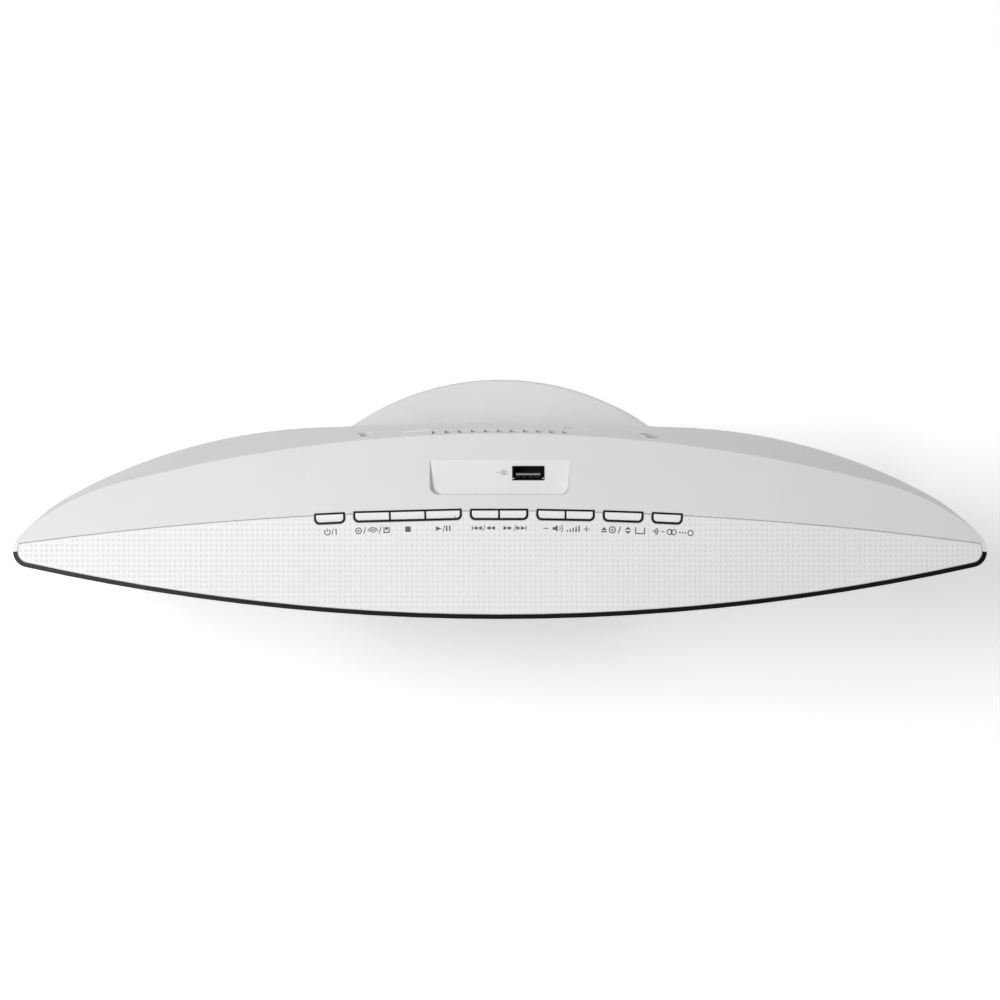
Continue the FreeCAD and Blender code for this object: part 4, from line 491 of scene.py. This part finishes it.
ICONS = {
    "power": (330.5, strips(-1.3, 0, 1.35, 0.42, 125, 415) + [bar(-1.5, 0.2, 0.4, 1.3), slash(0.85),
                                                            bar(2.1, -1.3, 0.45, 2.6)]),
    "source": (372.0, sized(strips(-4.8, 0, 1.2, 0.38) + [disc(-4.8, 0, 0.36), slash(-2.6, 2.4)]
               + strips(0.3, -0.95, 0.65, 0.36, 20, 160) + strips(0.3, -0.95, 1.35, 0.36, 20, 160)
               + strips(0.3, -0.95, 2.05, 0.36, 20, 160) + [slash(2.9, 2.4), bar(4.1, -1.1, 0.38, 2.2)]
               + [bar(4.1, -1.1, 2.2, 0.38), bar(5.92, -1.1, 0.38, 2.2), disc(5.2, 0.5, 0.55)], 1.15)),
    "stop": (408.0, [bar(-1.13, -1.13, 2.26, 2.26)]),
    "play": (443.3, [triangle(-3.1, 0, 2.5, 1.9, 1), slash(0.2), bar(1.07, -1.1, 0.62, 2.2),
                     bar(2.36, -1.1, 0.62, 2.2)]),
    "skip_back": (483.4, skip(-1)),
    "skip_forward": (515.0, skip(1)),
    "minus": (545.8, [bar(-1.2, -0.18, 2.4, 0.36)]),
    "speaker": (566.2, [[(-5.6, -0.55), (-4.7, -0.55), (-3.5, -1.35), (-3.5, 1.35), (-4.7, 0.55),
                         (-5.6, 0.55)]]
                + strips(-3.6, 0, 1.3, 0.36, -42, 42) + strips(-3.6, 0, 2.3, 0.36, -45, 45)
                + [bar(0.2 + 1.2 * i, -1.3, 0.55, 0.7 + 0.48 * i) for i in range(5)]),
    "plus": (586.5, [bar(-1.2, -0.18, 2.4, 0.36), bar(-0.18, 0.18, 0.36, 1.02),
                     bar(-0.18, -1.2, 0.36, 1.02)]),
    "eject": (604.1, [[(-1.2, -0.3), (1.2, -0.3), (0, 1.15)], bar(-1.2, -1.15, 2.4, 0.5)]),
    "tray": (627.3, sized(strips(-4.9, 0, 1.15, 0.36) + [disc(-4.9, 0, 0.34), slash(-2.6, 2.3)]
             + [[(-0.9, 0.25), (1.3, 0.25), (0.2, 1.15)], [(-0.9, -0.25), (0.2, -1.15), (1.3, -0.25)]]
             + [bar(2.6, -1.1, 0.36, 2.2), bar(2.96, -1.1, 2.9, 0.36), bar(5.5, -0.74, 0.36, 1.84)], 1.25)),
    "waves": (655.7, sized(strips(-0.6, 0, 1.4, 0.36, -55, 55) + strips(-0.6, 0, 0.8, 0.34, -60, 60)
              + [disc(-0.65, 0, 0.26)], 1.35)),
    "link": (677.4, sized([bar(-5.9, -0.16, 1.1, 0.33)] + strips(-2.9, 0, 1.15, 0.38)
             + strips(-1.4, 0, 1.15, 0.38) + [disc(0.9 + k, 0, 0.3) for k in range(3)]
             + strips(4.9, 0, 1.15, 0.38), 1.1)),
}
ICON_ROW = -16.1  # the icon row's height in the middle of the panel, in mm
ICON_SCALE = 0.4107  # mm between two places of the icon row's scale


def placed_icons():
    """Each icon's outlines in mm, set on an arc that follows the panel's edge."""
    for name, (place, shapes) in ICONS.items():
        x = (place - 500) * ICON_SCALE
        lean = x * MM / LINE_RADIUS
        y = ICON_ROW - x * lean / 2
        c, d = math.cos(lean), math.sin(lean)
        yield name, [[(x + c * u + d * v, y - d * u + c * v) for u, v in shape] for shape in shapes]


def icon_zones():
    """The flat patches that the icons are printed on."""
    zones = []
    for _, shapes in placed_icons():
        spots = np.array([p for shape in shapes for p in shape])
        zones.append((*((spots.min(0) - 0.15) * MM), *((spots.max(0) + 0.15) * MM)))
    return zones


def printed(name, shapes, level, material, thick=0.03):
    """Flat printed shapes, as thin raised ink."""
    points, faces = [], []
    for shape in shapes:
        first, size = len(points), len(shape)
        places = [(x * MM, y * MM) for x, y in shape]
        points += [(x, y, level + side * thick * MM) for side in (-1, 1) for x, y in places]
        triangles = filled(np.array(places))
        faces += [(first + size + a, first + size + b, first + size + c) for a, b, c in triangles]
        faces += [(first + c, first + b, first + a) for a, b, c in triangles]
        faces += [(first + i, first + (i + 1) % size, first + size + (i + 1) % size, first + size + i)
                  for i in range(size)]
    return make_piece(name, points, faces, material, "cabinet")


def make_icons():
    for name, shapes in placed_icons():
        printed(f"icon_{name}", shapes, TOP, "legend_ink")


# ---------------------------------------------------------------- buttons

GROUPS = [["power_button"], ["source_button", "stop_button", "play_button"],
          ["skip_back_button", "skip_forward_button"], ["volume_down_button", "volume_up_button"],
          ["eject_button"], ["wireless_button"]]


def make_button(node, angle, rounded_left, rounded_right):
    """A key cap: bright flat rear ridge, a front slope that falls away, and softened edges."""
    spots = np.array([v.co for v in NODES[node].data.vertices])
    spots = spots[spots[:, 2] > TOP - 3 * MM]
    ca, sa = math.cos(angle), math.sin(angle)
    x, y = spots[:, 0], spots[:, 1] - LINE_AXIS_Y
    u, v = ca * x - sa * y, sa * x + ca * y
    u0, u1, v0, v1 = u.min(), u.max(), v.min(), v.max()
    corner, across, deep = 1.5 * MM, 28, 16
    crest, fall, soft = 0.30 * MM, 0.55 * MM, 0.28 * MM
    slope_end, softness, skirt = 0.66, 0.8, 4.8 * MM
    depth = v1 - v0

    def side(v_now, rounded):
        t = v_now - v0
        if not rounded or t > corner:
            return 0.0
        return corner - math.sqrt(max(corner ** 2 - (corner - t) ** 2, 0))

    def height(u_now, v_now, left, right):
        t = (v_now - v0) / depth
        z = crest - (fall * ((slope_end - t) / slope_end) ** 1.2 if t < slope_end else 0.0)
        edge = min(u_now - left, right - u_now, v_now - v0, v1 - v_now)
        if edge < soft:
            z -= (soft - math.sqrt(max(soft ** 2 - (soft - edge) ** 2, 0))) * softness
        return z

    def ease(i, n):
        """Rows packed closer towards both edges."""
        return 0.5 - 0.5 * math.cos(math.pi * i / n)

    points, grid = [], []
    for j in range(deep + 1):
        v_now = v0 + depth * ease(j, deep)
        left, right = u0 + side(v_now, rounded_left), u1 - side(v_now, rounded_right)
        row = []
        for i in range(across + 1):
            u_now = left + (right - left) * ease(i, across)
            row.append(len(points))
            points.append((ca * u_now + sa * v_now, -sa * u_now + ca * v_now + LINE_AXIS_Y,
                           TOP + height(u_now, v_now, left, right)))
        grid.append(row)
    faces = [(grid[j][i], grid[j][i + 1], grid[j + 1][i + 1], grid[j + 1][i])
             for j in range(deep) for i in range(across)]
    rim = grid[0] + [r[-1] for r in grid[1:]] + grid[-1][-2::-1] + [r[0] for r in grid[-2:0:-1]]
    first = len(points)
    points += [(points[k][0], points[k][1], TOP - skirt) for k in rim]
    count = len(rim)
    faces += [(rim[(i + 1) % count], rim[i], first + i, first + (i + 1) % count) for i in range(count)]
    faces.append(tuple(range(first, first + count)))
    piece = make_piece(f"{node}_cap", points, faces, "button_white", node, smooth=True)
    piece.data.set_sharp_from_angle(angle=math.radians(50))
    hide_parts(node)


def make_play_dot():
    """The small touch mark near the right end of the play key."""
    low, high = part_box("play_button")
    x, y, radius, count = high.x - 2.0 * MM, low.y + 1.35 * MM, 0.28 * MM, 16
    shape = ((1, -0.1), (1, 0.26), (0.6, 0.38))  # share of the radius, and height over the panel in mm
    points = [(x + a * k, y + b * k, TOP + h * MM) for k, h in shape for a, b in circle(radius, count)]
    faces = [(first + i, first + (i + 1) % count, first + count + (i + 1) % count, first + count + i)
             for first in range(0, count * (len(shape) - 1), count) for i in range(count)]
    faces.append(tuple(range(len(points) - count, len(points))))
    make_piece("play_dot", points, faces, "usb_grey", "play_button", smooth=True)


def make_buttons():
    for names in GROUPS:
        span = (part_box(names[0])[0].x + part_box(names[-1])[1].x) / 2
        angle = math.asin(span / LINE_RADIUS)
        for k, name in enumerate(names):
            make_button(name, angle, k == 0, k == len(names) - 1)


# ---------------------------------------------------------------- perforated grilles

def make_grille(name):
    """A curved steel sheet with a square grid of round holes and a plain border."""
    low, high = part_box(name)
    outer, inner = FRONT_RADIUS - 0.25 * MM, FRONT_RADIUS - 0.95 * MM
    reach = sorted(math.asin(x / outer) * FRONT_RADIUS for x in (low.x, high.x))
    pitch, hole, segments = 2.8 * MM, 0.85 * MM, 8
    border = 2.6 * MM
    wide, tall = reach[1] - reach[0], high.z - low.z
    columns = int((wide - 2 * border) / pitch)
    rows = int((tall - 2 * border) / pitch)
    start = (reach[0] + (wide - columns * pitch) / 2, low.z + (tall - rows * pitch) / 2)
    points, faces = [], []

    def bend(s, z, radius):
        angle = s / FRONT_RADIUS
        return (math.sin(angle) * radius, FRONT_AXIS_Y - math.cos(angle) * radius, z)

    square = np.array([(-1, -1), (0, -1), (1, -1), (1, 0), (1, 1), (0, 1), (-1, 1), (-1, 0)]) * pitch / 2
    ring = circle(hole, segments, math.radians(-135))
    shared = {}

    def corner(s, z, radius):
        key = (round(s / MM * 100), round(z / MM * 100), radius == outer)
        if key not in shared:
            shared[key] = len(points)
            points.append(bend(s, z, radius))
        return shared[key]

    for column in range(columns):
        for row in range(rows):
            s, z = start[0] + (column + 0.5) * pitch, start[1] + (row + 0.5) * pitch
            rings = {}
            for radius in (outer, inner):
                first = len(points)
                points.extend(bend(s + a, z + b, radius) for a, b in ring)
                edge = [corner(s + a, z + b, radius) for a, b in square]
                rings[radius] = first
                for i in range(segments):
                    j = (i + 1) % segments
                    quad = (edge[i], edge[j], first + j, first + i)
                    faces.append(quad if radius == outer else quad[::-1])
            a, b = rings[outer], rings[inner]
            faces.extend((a + i, a + (i + 1) % segments, b + (i + 1) % segments, b + i)
                         for i in range(segments))
    s_lines = [reach[0]] + [start[0] + i * pitch / 2 for i in range(2 * columns + 1)] + [reach[1]]
    z_lines = [low.z] + [start[1] + i * pitch / 2 for i in range(2 * rows + 1)] + [high.z]
    for i in range(len(s_lines) - 1):
        for j in range(len(z_lines) - 1):
            if 0 < i < len(s_lines) - 2 and 0 < j < len(z_lines) - 2:
                continue
            quads = [(s_lines[i], z_lines[j]), (s_lines[i + 1], z_lines[j]),
                     (s_lines[i + 1], z_lines[j + 1]), (s_lines[i], z_lines[j + 1])]
            for radius in (outer, inner):
                quad = tuple(corner(s, z, radius) for s, z in quads)
                faces.append(quad if radius == outer else quad[::-1])
    edge = [(s, z_lines[0]) for s in s_lines] + [(s_lines[-1], z) for z in z_lines[1:]]
    edge += [(s, z_lines[-1]) for s in s_lines[-2::-1]] + [(s_lines[0], z) for z in z_lines[-2:0:-1]]
    for (s0, z0), (s1, z1) in zip(edge, edge[1:] + edge[:1]):
        faces.append((corner(s1, z1, outer), corner(s0, z0, outer),
                      corner(s0, z0, inner), corner(s1, z1, inner)))
    piece = make_piece(f"{name}_mesh", points, faces, "grille_metal", "cabinet")
    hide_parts(name)


# ---------------------------------------------------------------- small details

def slab(low, high):
    """The corners and faces of a small block in mm, for pieces made of several blocks."""
    xs, ys, zs = zip(low, high)
    corners = [(x * MM, y * MM, z * MM) for x in xs for y in ys for z in zs]
    return corners, [(0, 1, 3, 2), (4, 6, 7, 5), (0, 4, 5, 1), (2, 3, 7, 6), (0, 2, 6, 4), (1, 5, 7, 3)]


def blocks(name, pairs, material, body, soft=0.08):
    """Several blocks as one piece with bevelled edges."""
    points, faces = [], []
    for low, high in pairs:
        corners, quads = slab(low, high)
        faces += [tuple(len(points) + i for i in q) for q in quads]
        points += corners
    piece = make_piece(name, points, faces, material, body)
    bevel = piece.modifiers.new("soft", "BEVEL")
    bevel.width, bevel.segments, bevel.limit_method = soft * MM, 2, "ANGLE"
    return piece


def make_usb_details():
    """Contacts and a pale tip on the tongue, two sprung corner tabs and a faint printed plug."""
    low, high = (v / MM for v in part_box("usb_socket_shell"))
    x, y, floor = (low.x + high.x) / 2, (low.y + high.y) / 2, high.z
    contacts = [((x - 5.0 + 2.7 * i, y - 1.62, floor - 11), (x - 3.6 + 2.7 * i, y - 1.45, floor - 6))
                for i in range(4)]
    blocks("usb_contacts", contacts, "gold_contact", "cabinet", 0.03)
    blocks("usb_tongue_tip", [((x - 5.0, y - 0.75, floor - 1.9), (x + 5.0, y - 0.15, floor - 1.35))],
           "usb_grey", "cabinet", 0.12)
    spread, half = 6.15, 0.34
    corners = [((x + side * spread - half, y - 2.45, floor - 0.6),
                (x + side * spread + half, y - 1.85, floor + 0.05)) for side in (-1, 1)]
    blocks("usb_corner_tabs", corners, "steel", "cabinet", 0.12)
    left, row = x - 13.3, y + 0.2
    plug = [bar(left, row - 0.12, 2.0, 0.24), bar(left + 2.0, row - 1.0, 1.7, 2.0),
            bar(left + 3.7, row - 0.75, 1.2, 0.3), bar(left + 3.7, row + 0.45, 1.2, 0.3)]
    printed("usb_mark", plug, floor * MM, "faint_ink")


def top_height(x, y):
    """The height of the rear shell's top surface at a point in mm, found by a ray from above."""
    hit, spot, _, _ = NODES["rear_cabinet"].ray_cast(Vector((x * MM, y * MM, 0.3)), Vector((0, 0, -1)))
    return spot.z / MM if hit else TOP / MM


def make_recess_lip():
    """The drafted wall round three sides of the recess: wide where the recess is deep."""
    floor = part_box("usb_socket_shell")[1].z / MM
    half, front, back, corner, steps = 29.0, -2.4, 11.9, 3.7, 8
    rim = [(-half, back - (back - front - corner) * k / steps) for k in range(steps)]
    rim += [(-half + corner - corner * math.cos(a), front + corner - corner * math.sin(a))
            for a in (math.pi / 2 * k / steps for k in range(steps + 1))]
    rim += [(-x, y) for x, y in reversed(rim)]
    rim = np.array(rim)
    points, count = [], len(rim)
    front_draft, left_draft, right_draft = 0.03, 0.32, 0.20
    reach, sink, overlap, foot = 0.35, 0.05, 0.01, 0.1
    for k, spot in enumerate(rim):
        ahead, behind = rim[min(k + 1, count - 1)], rim[max(k - 1, 0)]
        along = (ahead - behind) / np.linalg.norm(ahead - behind)
        inward = np.array([-along[1], along[0]])
        level = top_height(*(spot - inward * reach)) - sink
        drop = max(level - floor, foot)
        sideways = abs(inward[0])
        draft = front_draft + (left_draft if spot[0] < 0 else right_draft) * sideways
        base = spot + inward * (draft * drop + foot * sideways)
        edge = spot - inward * overlap
        points += [(*edge, level), (*base, floor + overlap), (*edge, floor + overlap)]
    faces = []
    for k in range(count - 1):
        a, b = 3 * k, 3 * k + 3
        faces += [(a, b, b + 1, a + 1), (a + 1, b + 1, b + 2, a + 2), (a + 2, b + 2, b, a)]
    faces += [(0, 1, 2), (3 * count - 1, 3 * count - 2, 3 * count - 3)]
    points = [tuple(v * MM for v in p) for p in points]
    make_piece("recess_lip", points, faces, "white_shell", "cabinet")


paint_cad_nodes()
make_top_panel(icon_zones())
make_icons()
make_buttons()
make_play_dot()
for grille in ("speaker_grille_left", "speaker_grille_right"):
    make_grille(grille)
make_usb_details()
bpy.context.view_layer.update()
make_recess_lip()


# ---------------------------------------------------------------- studio

def make_studio():
    floor = bpy.data.meshes.new("studio_floor")
    size = 6.0
    floor.from_pydata([(-size, -size, -0.0002), (size, -size, -0.0002), (size, size, -0.0002),
                       (-size, size, -0.0002)], [], [(0, 1, 2, 3)])
    material, tree, shader, place = shader_nodes("studio_paper")
    tree.links.new(ramp(tree, noise(tree, place, 0.4, 2.0), (0.93, 0.93, 0.93), (0.95, 0.95, 0.95)),
                   shader.inputs["Base Color"])
    shader.inputs["Roughness"].default_value = 0.9
    shader.inputs["Emission Color"].default_value = (1, 1, 1, 1)
    shader.inputs["Emission Strength"].default_value = 0.32
    floor.materials.append(material)
    sheet = bpy.data.objects.new("studio_floor", floor)
    bpy.context.scene.collection.objects.link(sheet)

    world = bpy.data.worlds.new("studio")
    world.use_nodes = True
    sky = world.node_tree
    up = sky.nodes.new("ShaderNodeSeparateXYZ")
    sky.links.new(sky.nodes.new("ShaderNodeTexCoord").outputs["Generated"], up.inputs["Vector"])
    tent = sky.nodes.new("ShaderNodeValToRGB")
    stops = ((0.0, 0.02), (0.35, 0.03), (0.70, 0.34), (0.955, 0.78), (0.985, 0.08))
    tent.color_ramp.elements.remove(tent.color_ramp.elements[1])
    for k, (height, level) in enumerate(stops):
        stop = tent.color_ramp.elements[0] if k == 0 else tent.color_ramp.elements.new(height)
        stop.position, stop.color = height, (level, level, level, 1)
    sky.links.new(up.outputs["Z"], tent.inputs["Fac"])
    sky.links.new(tent.outputs["Color"], sky.nodes["Background"].inputs["Color"])
    sky.nodes["Background"].inputs["Strength"].default_value = 1.0
    bpy.context.scene.world = world

    for name, place, target, size_m, power in (
            ("key_top_left", (-0.45, 0.12, 1.25), (-0.25, 0.05, 0.0), 0.45, 8.6),
            ("fill_front", (0.3, -1.8, 1.0), (0, 0, 0.1), 1.2, 5)):
        light = bpy.data.lights.new(name, "AREA")
        light.size, light.energy = size_m, power
        lamp = bpy.data.objects.new(name, light)
        lamp.location = place
        lamp.rotation_euler = (Vector(target) - Vector(place)).to_track_quat("-Z", "Y").to_euler()
        bpy.context.scene.collection.objects.link(lamp)

    camera = bpy.data.cameras.new("camera")
    camera.sensor_width, camera.lens = 36.0, 105.2
    view = bpy.data.objects.new("camera", camera)
    view.location = (0.0, -0.0046, TOP + 1.2)
    bpy.context.scene.collection.objects.link(view)
    bpy.context.scene.camera = view
    bpy.context.scene.view_settings.view_transform = "Standard"


make_studio()
